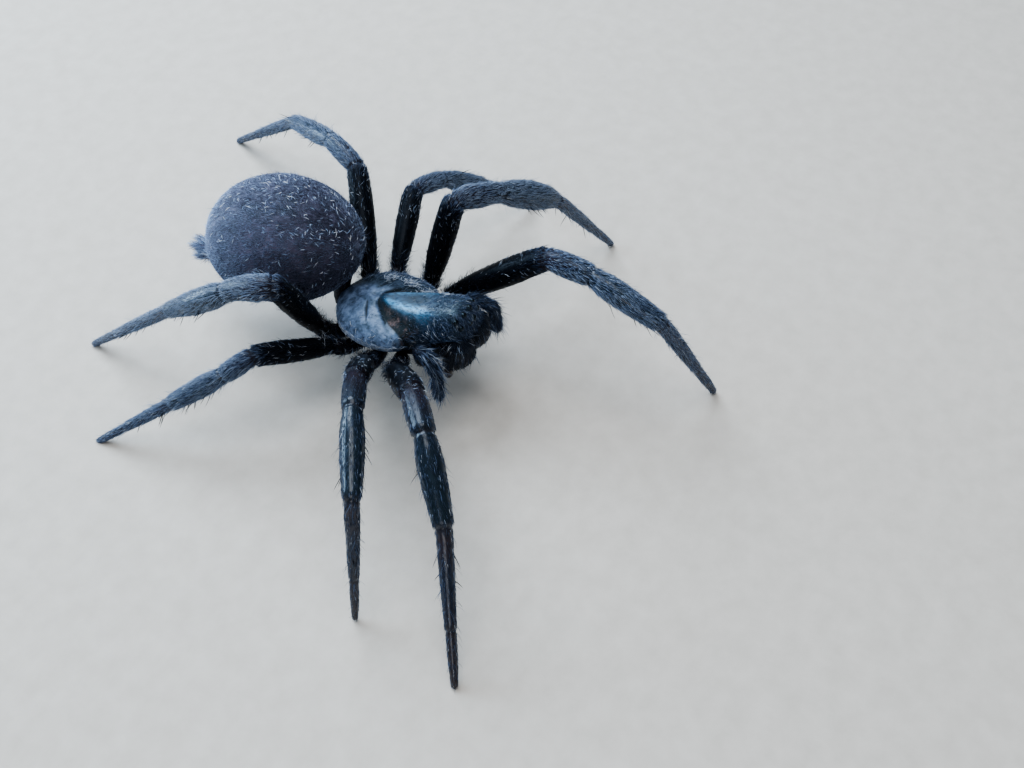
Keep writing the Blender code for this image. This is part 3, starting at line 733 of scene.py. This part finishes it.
plate = blend_colours(tree, painted_crest_highlight, plate, (0.13, 0.41, 0.72))
# Painted sheen: the rear disc is painted pale slate-blue
painted_sheen_disc = ramp(tree, wrinkle, (0.32, (0.022, 0.036, 0.066)), (0.47, (0.078, 0.118, 0.205)),
            (0.66, (0.165, 0.235, 0.380)))
plate = blend_colours(tree, disc, plate, painted_sheen_disc)
# The hollow is mottled brown and near-black
brown_black_mottle = ramp(tree, wrinkle, (0.44, (0.003, 0.0022, 0.0024)), (0.56, (0.028, 0.018, 0.016)),
               (0.67, (0.13, 0.090, 0.088)))
plate = blend_colours(tree, hollow, plate, brown_black_mottle)
# Painted shade: the left flank is painted darker
plate = blend_colours(tree, maths(tree, "MULTIPLY", shaded_left_flank, 0.85), plate, (0.006, 0.010, 0.014))
forehead = node(tree, "MapRange", Value=spot.outputs[1], From_Min=BODY.y - 2.3 * MM,
                From_Max=BODY.y - 3.9 * MM, To_Min=0.0, To_Max=0.85).outputs[0]
plate = blend_colours(tree, forehead, plate, (0.004, 0.006, 0.011))
plate = blend_colours(tree, furrow, plate, (0.0015, 0.0015, 0.002))
tree.links.new(plate, shader.inputs["Base Color"])
rough = maths(tree, "MULTIPLY_ADD", tone, 0.22, maths(tree, "MULTIPLY_ADD", disc, 0.18, 0.26))
dull = maths(tree, "MULTIPLY", maths(tree, "MAXIMUM", shaded_left_flank, maths(tree, "MAXIMUM", hollow, furrow)), 0.4)
tree.links.new(maths(tree, "ADD", rough, dull), shader.inputs["Roughness"])
dulled = maths(tree, "MAXIMUM", maths(tree, "MULTIPLY", dull, 2.5),
               maths(tree, "MAXIMUM", forehead, maths(tree, "MULTIPLY", disc, 0.75)))
tree.links.new(maths(tree, "MULTIPLY", maths(tree, "SUBTRACT", 1.0, dulled), 0.8),
               shader.inputs["Coat Weight"])
bump(tree, shader, maths(tree, "MULTIPLY_ADD", wrinkle, 2.5, height), 0.4, 0.012 * MM)
shield = piece("back_shield", shield_form, [shield_skin])
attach(shield, "root")
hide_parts("carapace")


# Jaws and fangs. Two stout glossy black jaws hang side by side under the head, knee-shaped in front,
# each with a dark red-brown curved fang folded in below.
JAW_ROWS = 56
jaw_skin, tree, shader = finish("jaw_skin", 0.35, specular=0.3, Specular_Tint=BLUE_GLINT)
height, tone = grained(tree, 5200.0)
tree.links.new(ramp(tree, tone, (0.3, (0.004, 0.005, 0.009)), (0.7, (0.010, 0.013, 0.022))),
               shader.inputs["Base Color"])
tree.links.new(maths(tree, "MULTIPLY_ADD", tone, 0.2, 0.2), shader.inputs["Roughness"])
bump(tree, shader, height, 0.4, 0.012 * MM)
horn, tree, shader = finish("horn", 0.18, specular=0.6)
reddish = noise(tree, object_place(tree), 2500.0)
tree.links.new(ramp(tree, reddish, (0.3, (0.004, 0.002, 0.002)), (0.7, (0.018, 0.005, 0.004))),
               shader.inputs["Base Color"])
jaw_forms = {}
jaws = {}
for letter, hand in (("L", 1), ("R", -1)):

    def jaw_mould(row, angle):
        # rows run from the top of the jaw to its lower end
        level = math.cos(row / JAW_ROWS * math.pi)
        down = (1.0 - level) / 2
        girth = max(1e-6, math.sin(row / JAW_ROWS * math.pi)) ** 0.7 * (1.0 - 0.16 * down)
        across = math.cos(angle)
        boss = 0.26 * math.exp(-((level - 0.60) / 0.30) ** 2) * max(0.0, across * hand) ** 2
        bulge = 0.38 * (1.0 - (level - 0.3) ** 2) - 0.3 * down
        place = body_place(4.2 + bulge - math.sin(angle) * girth * 0.80,
                           hand * 0.77 + across * girth * 0.64 + boss * hand, 1.62 - 2.75 * down)
        return place, Vector((0, -0.15, -1)), 0.0, 0.0

    jaw_forms[letter] = moulded_ball(48, JAW_ROWS, jaw_mould)
    jaws[letter] = piece(f"jaw_{letter}", jaw_forms[letter], [jaw_skin])
    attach(jaws[letter], "root")
    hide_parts(f"chelicera_{letter}")

    fang_low, fang_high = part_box(f"fang_{letter}")
    outer, inner = (fang_high.x, fang_low.x) if hand > 0 else (fang_low.x, fang_high.x)
    middle_y = (fang_low.y + fang_high.y) / 2
    course = [Vector((outer + (inner - outer) * 0.1, middle_y, fang_high.z + 0.35 * MM))]
    for step in range(13):
        share = step / 12
        course.append(Vector((outer + (inner - outer) * (0.14 + 0.84 * share),
                              middle_y + 0.05 * MM * share,
                              fang_high.z - 0.2 * MM - 0.26 * MM * math.sin(math.radians(150) * share))))
    fang = piece(f"fang_{letter}_horn",
                 straight_sleeve(course, np.array((0.26, *np.linspace(0.2, 0.02, 13))) * MM, 20, 48, 0.0),
                 [horn])
    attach(fang, "root")
    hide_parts(f"fang_{letter}")


# Eyes. Eight small glossy black lenses in two rows of four across the front of the head, each in a
# low dark rim of the shield.
lens_skin, tree, shader = finish("lens", 0.05, specular=0.4, Specular_Tint=CYAN_GLINT)
deep = noise(tree, object_place(tree), 1500.0)
tree.links.new(ramp(tree, deep, (0.3, (0.001, 0.001, 0.0015)), (0.7, (0.004, 0.004, 0.006))),
               shader.inputs["Base Color"])
rim_skin, tree, shader = finish("eye_rim", 0.35, specular=0.4, Specular_Tint=CYAN_GLINT)
height, tone = grained(tree, 9000.0)
tree.links.new(ramp(tree, tone, (0.3, (0.003, 0.004, 0.006)), (0.7, (0.010, 0.012, 0.017))),
               shader.inputs["Base Color"])
bump(tree, shader, height, 0.3, 0.006 * MM)
HEAD_MIDDLE = body_place(3.2, 0.0, 1.1)
eye_nodes = sorted(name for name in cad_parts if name.startswith("eye_"))
rims = bmesh.new()
for name in eye_nodes:
    eye_low, eye_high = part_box(name)
    eye_middle = (eye_low + eye_high) / 2
    radius = (eye_high.z - eye_low.z) / 2
    aim = (eye_middle - HEAD_MIDDLE).normalized()
    turn = aim.to_track_quat("Z", "Y").to_matrix().to_4x4()
    ball = bmesh.new()
    bmesh.ops.create_uvsphere(ball, u_segments=32, v_segments=24, radius=radius)
    bmesh.ops.transform(ball, verts=ball.verts, matrix=Matrix.Translation(eye_middle) @ turn)
    lens = piece(f"lens_{name}", ball, [lens_skin])
    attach(lens, "root")
    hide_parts(name)
    ring = bmesh.ops.create_circle(rims, cap_ends=False, segments=10, radius=0.035 * MM)["verts"]
    bmesh.ops.rotate(rims, verts=ring, matrix=Matrix.Rotation(math.radians(90), 3, "X"))
    bmesh.ops.translate(rims, verts=ring, vec=(radius * 1.02, 0, 0))
    edges = list(dict.fromkeys(edge for vert in ring for edge in vert.link_edges))
    bmesh.ops.spin(rims, geom=ring + edges, cent=(0, 0, 0), axis=(0, 0, 1),
                   angle=math.radians(360), steps=28, use_merge=True)
    fresh = [vert for vert in rims.verts if vert.co.length < 0.5 * MM]
    bmesh.ops.transform(rims, verts=fresh, matrix=Matrix.Translation(eye_middle) @ turn)
bmesh.ops.remove_doubles(rims, verts=rims.verts, dist=0.001 * MM)
bmesh.ops.recalc_face_normals(rims, faces=rims.faces)
eye_rims = piece("eye_rims", rims, [rim_skin])
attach(eye_rims, "root")


# Breastplate and lip. The heart-shaped plate under the front body, the short lip in front of it, and
# the two mouth lobes beside the lip, all dark brown-black and lightly haired.
STERNUM_ROWS = 48
STERNUM_WIDTH = ((-2.45, 0.4), (-2.05, 0.85), (-0.95, 1.15), (0.2, 1.25), (1.35, 1.15), (2.1, 0.8))


def sternum_mould(row, angle):
    along = math.cos(row / STERNUM_ROWS * math.pi)
    forward = -0.175 + along * 2.325
    fade = math.sqrt(max(0.0, 1.0 - abs(along) ** 8))
    dip = 0.06 * (1.0 - abs(math.cos(angle)))
    up = -0.17 + (1.05 - dip) * fade * min(0.0, math.sin(angle)) + 0.05 * fade * max(0.0, math.sin(angle))
    side = sternum_width(forward) * fade * math.cos(angle)
    return body_place(forward, side, up), Vector((0, 1, 0)), 0.0, 0.0


sternum_width = body_curve(STERNUM_WIDTH)
sternum_form = moulded_ball(64, STERNUM_ROWS, sternum_mould)
sternum = fused("breastplate", [sternum_form, lobe(2.15, 0.0, -0.62, (0.42, 0.5, 0.34)),
                                lobe(2.55, 0.62, -0.72, (0.24, 0.62, 0.36)),
                                lobe(2.55, -0.62, -0.72, (0.24, 0.62, 0.36))], [jaw_skin])
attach(sternum, "root")
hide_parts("sternum")


# Claws. Each foot ends in two curved comb claws and a small middle one, of dark horn.
for label in ("L1", "L2", "L3", "L4", "R1", "R2", "R3", "R4"):
    limb = limbs[label]
    toe = Vector(limb.centres[-4])
    ahead = Vector((limb.headings[-4][0], limb.headings[-4][1], 0)).normalized()
    aside = ahead.cross(Vector((0, 0, 1)))
    claws = []
    for spread, reach, thick in ((0.55, 0.26, 0.028), (-0.55, 0.26, 0.028), (0.0, 0.14, 0.02)):
        course = []
        for step in range(9):
            share = step / 8
            bend = math.sin(share * math.radians(140))
            flat = ahead * (reach * share) + aside * (spread * 0.16 * (0.4 + share * 0.6))
            lift = 0.05 + 0.08 * bend * (reach / 0.26) - 0.09 * share
            course.append(Vector((toe.x, toe.y, 0)) + (flat + Vector((0, 0, lift + 1.6 * thick))) * MM)
        claws.append(straight_sleeve(course, np.linspace(thick, thick * 0.2, 9) * MM, 10, 18, 0.0))
    claw = fused(f"claws_{label}", claws, [horn])
    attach(claw, "root")


# Coat of the limbs. Short stiff hairs lie along each segment towards the foot, sparse and fine on the
# glossy thighs, dense from the knee on, with a few long ones that stand off and dark spines below.
FINE_BENDS = (0.0, 0.5)
LONG_BENDS = (0.0, 0.35, 0.7)
PATCH = 0.003


def roots_on(form, count, rng, weigh=None):
    # where the hairs of a form grow, at random over its surface: more where the weight is higher
    form.verts.index_update()
    unwrap = form.loops.layers.uv["unwrap"]
    lie = form.verts.layers.float_vector["lie"]
    mark = form.verts.layers.float["mark"]
    places = np.array([vert.co[:] for vert in form.verts])
    normals = np.array([vert.normal[:] for vert in form.verts])
    lies = np.array([vert[lie][:] for vert in form.verts])
    marks = np.array([vert[mark] for vert in form.verts])
    corners = form.calc_loop_triangles()
    index = np.array([[loop.vert.index for loop in corner] for corner in corners])
    patches = np.array([[loop[unwrap].uv[:] for loop in corner] for corner in corners])
    sides = places[index[:, 1:]] - places[index[:, :1]]
    chance = np.linalg.norm(np.cross(sides[:, 0], sides[:, 1]), axis=1)
    if weigh:
        chance = chance * np.maximum(weigh(places, normals, marks), 0.0)[index].mean(axis=1)
    picked = rng.choice(len(index), count, p=chance / chance.sum())
    shares = rng.dirichlet((1.0, 1.0, 1.0), count)
    chosen = index[picked]
    normals = unit(np.einsum("ij,ijk->ik", shares, normals[chosen]))
    lies = np.einsum("ij,ijk->ik", shares, lies[chosen])
    lies = unit(lies - normals * np.sum(lies * normals, axis=1, keepdims=True))
    return {"place": np.einsum("ij,ijk->ik", shares, places[chosen]), "normal": normals, "lie": lies,
            "mark": np.einsum("ij,ij->i", shares, marks[chosen]),
            "patch": np.einsum("ij,ijk->ik", shares, patches[picked])}


def hairs(roots, rng, bends, length, width, lift, curl, stray, shade):
    # thin three-sided hairs from their roots: they rise by the lift from the skin and curl back over
    # by that share of it, turned from the lie by a stray angle (degrees)
    count = len(roots["place"])
    length = length * rng.uniform(0.6, 1.25, count)[:, None] * MM
    width = width * rng.uniform(0.75, 1.2, count)[:, None] * MM
    rise = np.radians(np.clip(lift * rng.lognormal(0.0, 0.35, count), 3.0, 85.0))[:, None]
    bend = rise * curl
    wave = np.sin(roots["place"] @ np.array((2100.0, 1700.0, 2500.0)))
    turn = np.radians(rng.normal(0.0, stray, count) + stray * wave)[:, None]
    across = np.cross(roots["normal"], roots["lie"])
    lie = roots["lie"] * np.cos(turn) + across * np.sin(turn)
    across = np.cross(roots["normal"], lie)
    steps = np.array((*bends, 1.0))[None, :]
    slope = rise - bend * steps
    ahead = length * (np.sin(rise) - np.sin(slope)) / bend
    above = length * (np.cos(slope) - np.cos(rise)) / bend
    spine = (roots["place"] - roots["normal"] * 0.004 * MM)[:, None]
    spine = spine + ahead[..., None] * lie[:, None] + above[..., None] * roots["normal"][:, None]
    upward = roots["normal"][:, None] * np.cos(slope)[..., None] - lie[:, None] * np.sin(slope)[..., None]
    points = []
    for row, share in enumerate(bends):
        for side in range(3):
            angle = math.radians(90 + 120 * side)
            out = across * math.cos(angle) + upward[:, row] * math.sin(angle)
            points.append(spine[:, row] + out * width * math.sqrt(1.0 - share))
    points.append(spine[:, -1])
    tone = np.repeat(shade[:, None], len(points), axis=1)
    return np.stack(points, axis=1), tone, roots["patch"], bends


def hair_triangles(bends):
    # the triangles of one hair, and where each of their corners lies in the hair's patch
    rows = len(bends)
    triangles = [(0, 2, 1)]
    spots = [((0, 0), (2, 0), (1, 0))]
    for row in range(rows):
        for side in range(3):
            near = 3 * row + side
            beside = 3 * row + (side + 1) % 3
            low_left, low_right = (side, bends[row]), (side + 1, bends[row])
            if row == rows - 1:
                triangles.append((near, beside, 3 * rows))
                spots.append((low_left, low_right, (side + 0.5, 1.0)))
            else:
                high_left, high_right = (side, bends[row + 1]), (side + 1, bends[row + 1])
                triangles.append((near, beside, beside + 3))
                spots.append((low_left, low_right, high_right))
                triangles.append((near, beside + 3, near + 3))
                spots.append((low_left, high_right, high_left))
    return np.array(triangles), np.array(spots) * (1 / 3, 1.0) * PATCH


def coat(name, batches, material):
    # one piece from batches of hairs
    corners = np.concatenate([points.reshape(-1, 3) for points, _, _, _ in batches])
    tones = np.concatenate([tone.reshape(-1) for _, tone, _, _ in batches])
    corners[:, 2] = np.maximum(corners[:, 2], 0.0)
    faces = []
    unwrap = []
    start = 0
    for points, _, patches, bends in batches:
        triangles, spots = hair_triangles(bends)
        count, each = points.shape[:2]
        faces.append((np.arange(count)[:, None, None] * each + triangles[None] + start).reshape(-1))
        unwrap.append((patches[:, None, None, :] + spots[None]).reshape(-1))
        start += count * each
    index = np.concatenate(faces)
    mesh = bpy.data.meshes.new(name)
    mesh.vertices.add(len(corners))
    mesh.vertices.foreach_set("co", corners.astype(np.float32).reshape(-1))
    mesh.loops.add(len(index))
    mesh.loops.foreach_set("vertex_index", index.astype(np.int32))
    mesh.polygons.add(len(index) // 3)
    mesh.polygons.foreach_set("loop_start", np.arange(0, len(index), 3, dtype=np.int32))
    mesh.update(calc_edges=True)
    mesh.attributes.new("shade", "FLOAT", "POINT").data.foreach_set("value", tones)
    mesh.uv_layers.new(name="OFBake").data.foreach_set("uv", np.concatenate(unwrap))
    mesh.shade_smooth()
    mesh.materials.append(material)
    made = bpy.data.objects.new(name, mesh)
    bpy.context.scene.collection.objects.link(made)
    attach(made, "root")
    return made


def hair_finish(name, roughness, stops, **sockets):
    made, tree, shader = finish(name, roughness, specular=0.3, Specular_Tint=BLUE_GLINT, **sockets)
    tree.links.new(ramp(tree, attribute(tree, "shade"), *stops), shader.inputs["Base Color"])
    return made


limb_hair = hair_finish("limb_hair", 0.45, (
    (0.0, (0.003, 0.004, 0.006)), (0.4, (0.010, 0.015, 0.028)), (0.6, (0.044, 0.068, 0.130)),
    (0.8, (0.125, 0.178, 0.30)), (0.92, (0.27, 0.34, 0.46)), (1.0, (0.66, 0.70, 0.76))))
HAIR_MARKS = (0.0, 0.1, 0.2, 0.34, 0.48, 0.6, 0.68, 0.78, 0.88, 1.0)
HAIR_LENGTHS = (0.20, 0.22, 0.22, 0.28, 0.34, 0.40, 0.36, 0.38, 0.32, 0.22)
HAIR_DENSITY = (0.4, 0.6, 0.4, 1.0, 1.1, 1.1, 1.1, 1.2, 1.2, 1.5)
TONE_MARKS = (0.0, 0.30, 0.37, 0.50, 0.68, 0.88, 1.0)
# Tone of the hair at those places on the pale legs, and on the front right ones, darker as painted shade
# and with fewer hairs
PALE_TONES = (0.20, 0.21, 0.78, 0.83, 0.80, 0.77, 0.68)
SHADED_TONES = (0.22, 0.25, 0.52, 0.44, 0.46, 0.52, 0.46)
# Legs whose hair is paler still from the knee on, as a painted sheen
SHEEN_PALER_LEGS = {"L2": 0.13, "L3": 0.09, "R4": 0.11}
# How many hairs of each kind a pale leg, a dark leg or a palp has
FINE_HAIRS = {"pale": 9400, "dark": 5200, "palp": 3600}
LOOSE_HAIRS = {"pale": 420, "dark": 260, "palp": 260}
BRUSH_HAIRS = {"palp_L": 150, "palp_R": 240}
HIP_HAIRS = 340
KNEE_BRISTLES = 60
SPINES = 26


def limb_weight(places, normals, marks):
    weight = np.interp(marks, HAIR_MARKS, HAIR_DENSITY)
    bare = np.clip(normals[:, 2], 0.0, 1.0) * np.clip((0.33 - marks) * 8.0, 0.0, 1.0)
    return weight * (1.0 - 0.75 * bare)


def tones(rng, middle, spread, white):
    # most hairs are near the middle tone, and a few are whitish
    shade = np.clip(rng.normal(middle, spread), 0.0, 0.91)
    return np.where(rng.random(len(shade)) < white, rng.uniform(0.88, 1.0, len(shade)), shade)


for order, (label, form) in enumerate(limb_forms.items()):
    rng = np.random.default_rng(100 + order)
    # The front right legs, R1 and R2, take the darker tones as painted shade, with fewer, shorter and
    # flatter hairs
    kind = "palp" if label in BRUSH_HAIRS else "dark" if label in ("R1", "R2") else "pale"
    leg_tones = np.array(PALE_TONES if kind == "pale" else SHADED_TONES)
    leg_tones[2:] += SHEEN_PALER_LEGS.get(label, 0.0)
    fine = roots_on(form, FINE_HAIRS[kind], rng, limb_weight)
    size = np.interp(fine["mark"], HAIR_MARKS, HAIR_LENGTHS)[:, None] * (0.75 if kind == "dark" else 1.0)
    shade = tones(rng, np.interp(fine["mark"], TONE_MARKS, leg_tones), spread=0.14, white=0.03)
    batches = [hairs(fine, rng, FINE_BENDS, length=size, width=0.0095,
                     lift=9.0 if kind == "dark" else 12.0, curl=0.75, stray=8.0, shade=shade)]
    loose = roots_on(form, LOOSE_HAIRS[kind], rng, limb_weight)
    size = np.interp(loose["mark"], HAIR_MARKS, HAIR_LENGTHS)[:, None]
    shade = tones(rng, np.interp(loose["mark"], TONE_MARKS, leg_tones) + 0.05, spread=0.12,
                  white=0.12 if label in ("R3", "R4") else 0.05)
    batches.append(hairs(loose, rng, LONG_BENDS, length=size * 1.6, width=0.0085, lift=34.0, curl=0.6,
                         stray=14.0, shade=shade))
    if kind == "palp":
        count = BRUSH_HAIRS[label]
        brush = roots_on(form, count, rng, lambda places, normals, marks: (marks > 0.42) * 1.0)
        paler = 0.10 if label == "palp_R" else -0.06
        batches.append(hairs(brush, rng, LONG_BENDS, length=0.8, width=0.0125, lift=26.0, curl=0.55,
                             stray=13.0, shade=rng.uniform(0.45, 0.90, count) + paler))
    else:
        # Hairs on the hips, a few of them white, partly real and partly standing in for painted highlights
        # there
        hip = roots_on(form, HIP_HAIRS, rng, lambda places, normals, marks:
                       np.exp(-((marks - 0.08) / 0.05) ** 2) * (normals[:, 2] > -0.4))
        shade = tones(rng, np.full(HIP_HAIRS, 0.34), spread=0.14, white=0.14)
        batches.append(hairs(hip, rng, LONG_BENDS, length=0.52, width=0.0105, lift=48.0, curl=0.9,
                             stray=30.0, shade=shade))
        knee = roots_on(form, KNEE_BRISTLES, rng, lambda places, normals, marks:
                        (np.abs(marks - 0.31) < 0.07) * (normals[:, 2] > -0.2))
        batches.append(hairs(knee, rng, LONG_BENDS, length=0.26, width=0.0125, lift=36.0, curl=1.4,
                             stray=35.0, shade=rng.uniform(0.84, 1.0, KNEE_BRISTLES)))
        below = roots_on(form, SPINES, rng, lambda places, normals, marks:
                         np.clip(-normals[:, 2], 0.05, 1.0) * (marks > 0.5) * (marks < 0.85))
        batches.append(hairs(below, rng, LONG_BENDS, length=0.75, width=0.026, lift=38.0, curl=0.3,
                             stray=8.0, shade=np.full(SPINES, 0.02)))
    coat(f"hairs_{label}", batches, limb_hair)


# Coat of the abdomen. Dense, short, charcoal hair lies backwards over it like velvet, with a thin stand
# of longer ones and a scatter of bent whitish bristles, and it is longer round the spinnerets.
down_hair = hair_finish("down_hair", 0.55, (
    (0.0, (0.006, 0.005, 0.008)), (0.4, (0.024, 0.020, 0.033)), (0.6, (0.074, 0.066, 0.102)),
    (0.8, (0.150, 0.180, 0.275)), (0.91, (0.36, 0.50, 0.72)), (1.0, (0.84, 0.86, 0.89))),
    Sheen_Weight=0.8, Sheen_Roughness=0.35, Sheen_Tint=(0.48, 0.64, 1.0, 1.0))


DOWN_HAIRS_PER_SIDE = 17800
LOOSE_HAIRS_PER_SIDE = 700
WHITE_BRISTLES = 340
SPINNERET_HAIRS = 260


def left_half(places, normals, marks):
    return (places[:, 0] >= abdomen_middle.x) * 1.0


def right_half(places, normals, marks):
    return (places[:, 0] < abdomen_middle.x) * 1.0


def on_back(places, normals, marks):
    side = (places[:, 0] - abdomen_middle.x) / (abdomen_half[0] * MM)
    return (0.6 + np.exp(-(side / 0.5) ** 2)) * np.clip(normals[:, 2] + 0.3, 0.0, 1.0)


def painted_tail_sheen_front_shade(places):
    # painted sheen makes the down pale at the tail, and painted shade makes it darkest in front
    tail = np.clip((places[:, 1] - abdomen_middle.y) / (abdomen_half[1] * MM), -1.0, 1.0)
    return 0.74 * np.maximum(tail, 0.0) ** 3.4 - 0.30 * np.maximum(-tail, 0.0)


for order, half in enumerate((left_half, right_half)):
    rng = np.random.default_rng(200 + order)
    fine = roots_on(abdomen_form, DOWN_HAIRS_PER_SIDE, rng, half)
    shade = tones(rng, 0.52 + painted_tail_sheen_front_shade(fine["place"]), spread=0.14, white=0.006)
    batches = [hairs(fine, rng, FINE_BENDS, length=0.25, width=0.0095, lift=15.0, curl=0.7, stray=12.0,
                     shade=shade)]
    loose = roots_on(abdomen_form, LOOSE_HAIRS_PER_SIDE, rng, half)
    shade = tones(rng, 0.60 + painted_tail_sheen_front_shade(loose["place"]), spread=0.14, white=0.04)
    batches.append(hairs(loose, rng, LONG_BENDS, length=0.42, width=0.0075, lift=40.0, curl=0.5,
                         stray=15.0, shade=shade))
    coat(f"abdomen_hairs_{order}", batches, down_hair)
rng = np.random.default_rng(210)
white = roots_on(abdomen_form, WHITE_BRISTLES, rng, on_back)
batches = [hairs(white, rng, LONG_BENDS, length=0.28, width=0.0195, lift=48.0, curl=1.6, stray=50.0,
                 shade=rng.uniform(0.88, 1.0, WHITE_BRISTLES))]
for form in spinner_forms:
    tuft = roots_on(form, SPINNERET_HAIRS, rng)
    shade = tones(rng, np.full(SPINNERET_HAIRS, 0.74), spread=0.12, white=0.25)
    batches.append(hairs(tuft, rng, LONG_BENDS, length=0.48, width=0.011, lift=22.0, curl=0.5,
                         stray=12.0, shade=shade))
coat("spinneret_hairs", batches, down_hair)


# Coat of the back shield, jaws and breastplate. Fine curved hairs lie forward over the head and thin out
# on the plate behind it, white ones line its left margin most, and coarse ones hang down the jaws.
def shield_weight(places, normals, marks):
    forward = (BODY.y - places[:, 1]) / MM
    side = (places[:, 0] - BODY.x) / MM
    return (normals[:, 2] > -0.5) * (0.10 + np.clip((forward - 1.4) / 1.6, 0.0, 1.3)
                                     + 0.7 * np.clip((marks - 0.78) / 0.2, 0.0, 1.0)
                                     + 0.7 * np.clip((side - 0.7) / 0.6, 0.0, 1.0))


def margin_weight(places, normals, marks):
    forward = (BODY.y - places[:, 1]) / MM
    side = (places[:, 0] - BODY.x) / MM
    line = np.exp(-((marks - np.where(side > 0, 0.62, 0.9)) / 0.11) ** 2)
    line = line * (forward > -1.7) * (forward < 3.3)
    clumps = 0.2 + (np.sin(forward * 5.0 + 1.0) > 0.2)
    return line * clumps * np.where(side > 0, 1.0, 0.12) * (normals[:, 2] > 0.0)


def face_weight(places, normals, marks):
    forward = (BODY.y - places[:, 1]) / MM
    return np.clip((forward - 4.1) / 0.4, 0.0, 1.0) * np.clip(-normals[:, 1], 0.0, 1.0)


def rim_weight(places, normals, marks):
    forward = (BODY.y - places[:, 1]) / MM
    return np.clip((marks - 0.955) / 0.02, 0.0, 1.0) * (forward > -2.2) * (forward < 1.1)


SHIELD_DOWN = 8000
SHIELD_HAIRS = 800
MARGIN_CURLS = 340
RIM_HAIRS = 420
FACE_HAIRS = 900
rng = np.random.default_rng(300)
fine = roots_on(shield_form, SHIELD_DOWN, rng, shield_weight)
shade = tones(rng, np.full(SHIELD_DOWN, 0.56), spread=0.15, white=0.02)
batches = [hairs(fine, rng, FINE_BENDS, length=0.17, width=0.0075, lift=18.0, curl=0.7, stray=22.0,
                 shade=shade)]
loose = roots_on(shield_form, SHIELD_HAIRS, rng, shield_weight)
shade = tones(rng, np.full(SHIELD_HAIRS, 0.68), spread=0.14, white=0.10)
batches.append(hairs(loose, rng, LONG_BENDS, length=0.40, width=0.0085, lift=34.0, curl=0.9, stray=25.0,
                     shade=shade))
edge = roots_on(shield_form, MARGIN_CURLS, rng, margin_weight)
batches.append(hairs(edge, rng, LONG_BENDS, length=0.34, width=0.0145, lift=34.0, curl=1.5, stray=50.0,
                     shade=rng.uniform(0.90, 1.0, MARGIN_CURLS)))
# A pale line of hairs lying flat along the margin, partly real hair and partly a painted highlight of the
# rim
rim = roots_on(shield_form, RIM_HAIRS, rng, rim_weight)
batches.append(hairs(rim, rng, LONG_BENDS, length=0.32, width=0.0125, lift=5.0, curl=0.6, stray=3.0,
                     shade=rng.uniform(0.84, 0.98, RIM_HAIRS)))
face = roots_on(shield_form, FACE_HAIRS, rng, face_weight)
shade = tones(rng, np.full(FACE_HAIRS, 0.55), spread=0.16, white=0.06)
batches.append(hairs(face, rng, LONG_BENDS, length=0.30, width=0.009, lift=26.0, curl=0.9, stray=18.0,
                     shade=shade))
coat("shield_hairs", batches, limb_hair)

JAW_DOWN = 2600
JAW_BRISTLES = 170
BREASTPLATE_HAIRS = 1800
CHEEK_HAIRS = 700
batches = []
for letter in "LR":
    fine = roots_on(jaw_forms[letter], JAW_DOWN, rng)
    shade = tones(rng, np.full(JAW_DOWN, 0.26), spread=0.12, white=0.01)
    batches.append(hairs(fine, rng, FINE_BENDS, length=0.25, width=0.0085, lift=18.0, curl=0.6,
                         stray=14.0, shade=shade))
    loose = roots_on(jaw_forms[letter], JAW_BRISTLES, rng)
    shade = tones(rng, np.full(JAW_BRISTLES, 0.52), spread=0.18, white=0.16)
    batches.append(hairs(loose, rng, LONG_BENDS, length=0.62, width=0.0095, lift=36.0, curl=0.6,
                         stray=14.0, shade=shade))
fine = roots_on(sternum_form, BREASTPLATE_HAIRS, rng,
                lambda places, normals, marks: normals[:, 2] < -0.2)
shade = tones(rng, np.full(BREASTPLATE_HAIRS, 0.5), spread=0.14, white=0.02)
batches.append(hairs(fine, rng, FINE_BENDS, length=0.28, width=0.009, lift=22.0, curl=0.6, stray=16.0,
                     shade=shade))
for form in cheek_forms:
    fine = roots_on(form, CHEEK_HAIRS, rng)
    shade = tones(rng, np.full(CHEEK_HAIRS, 0.5), spread=0.18, white=0.06)
    batches.append(hairs(fine, rng, LONG_BENDS, length=0.36, width=0.009, lift=30.0, curl=0.8,
                         stray=22.0, shade=shade))
coat("jaw_hairs", batches, limb_hair)
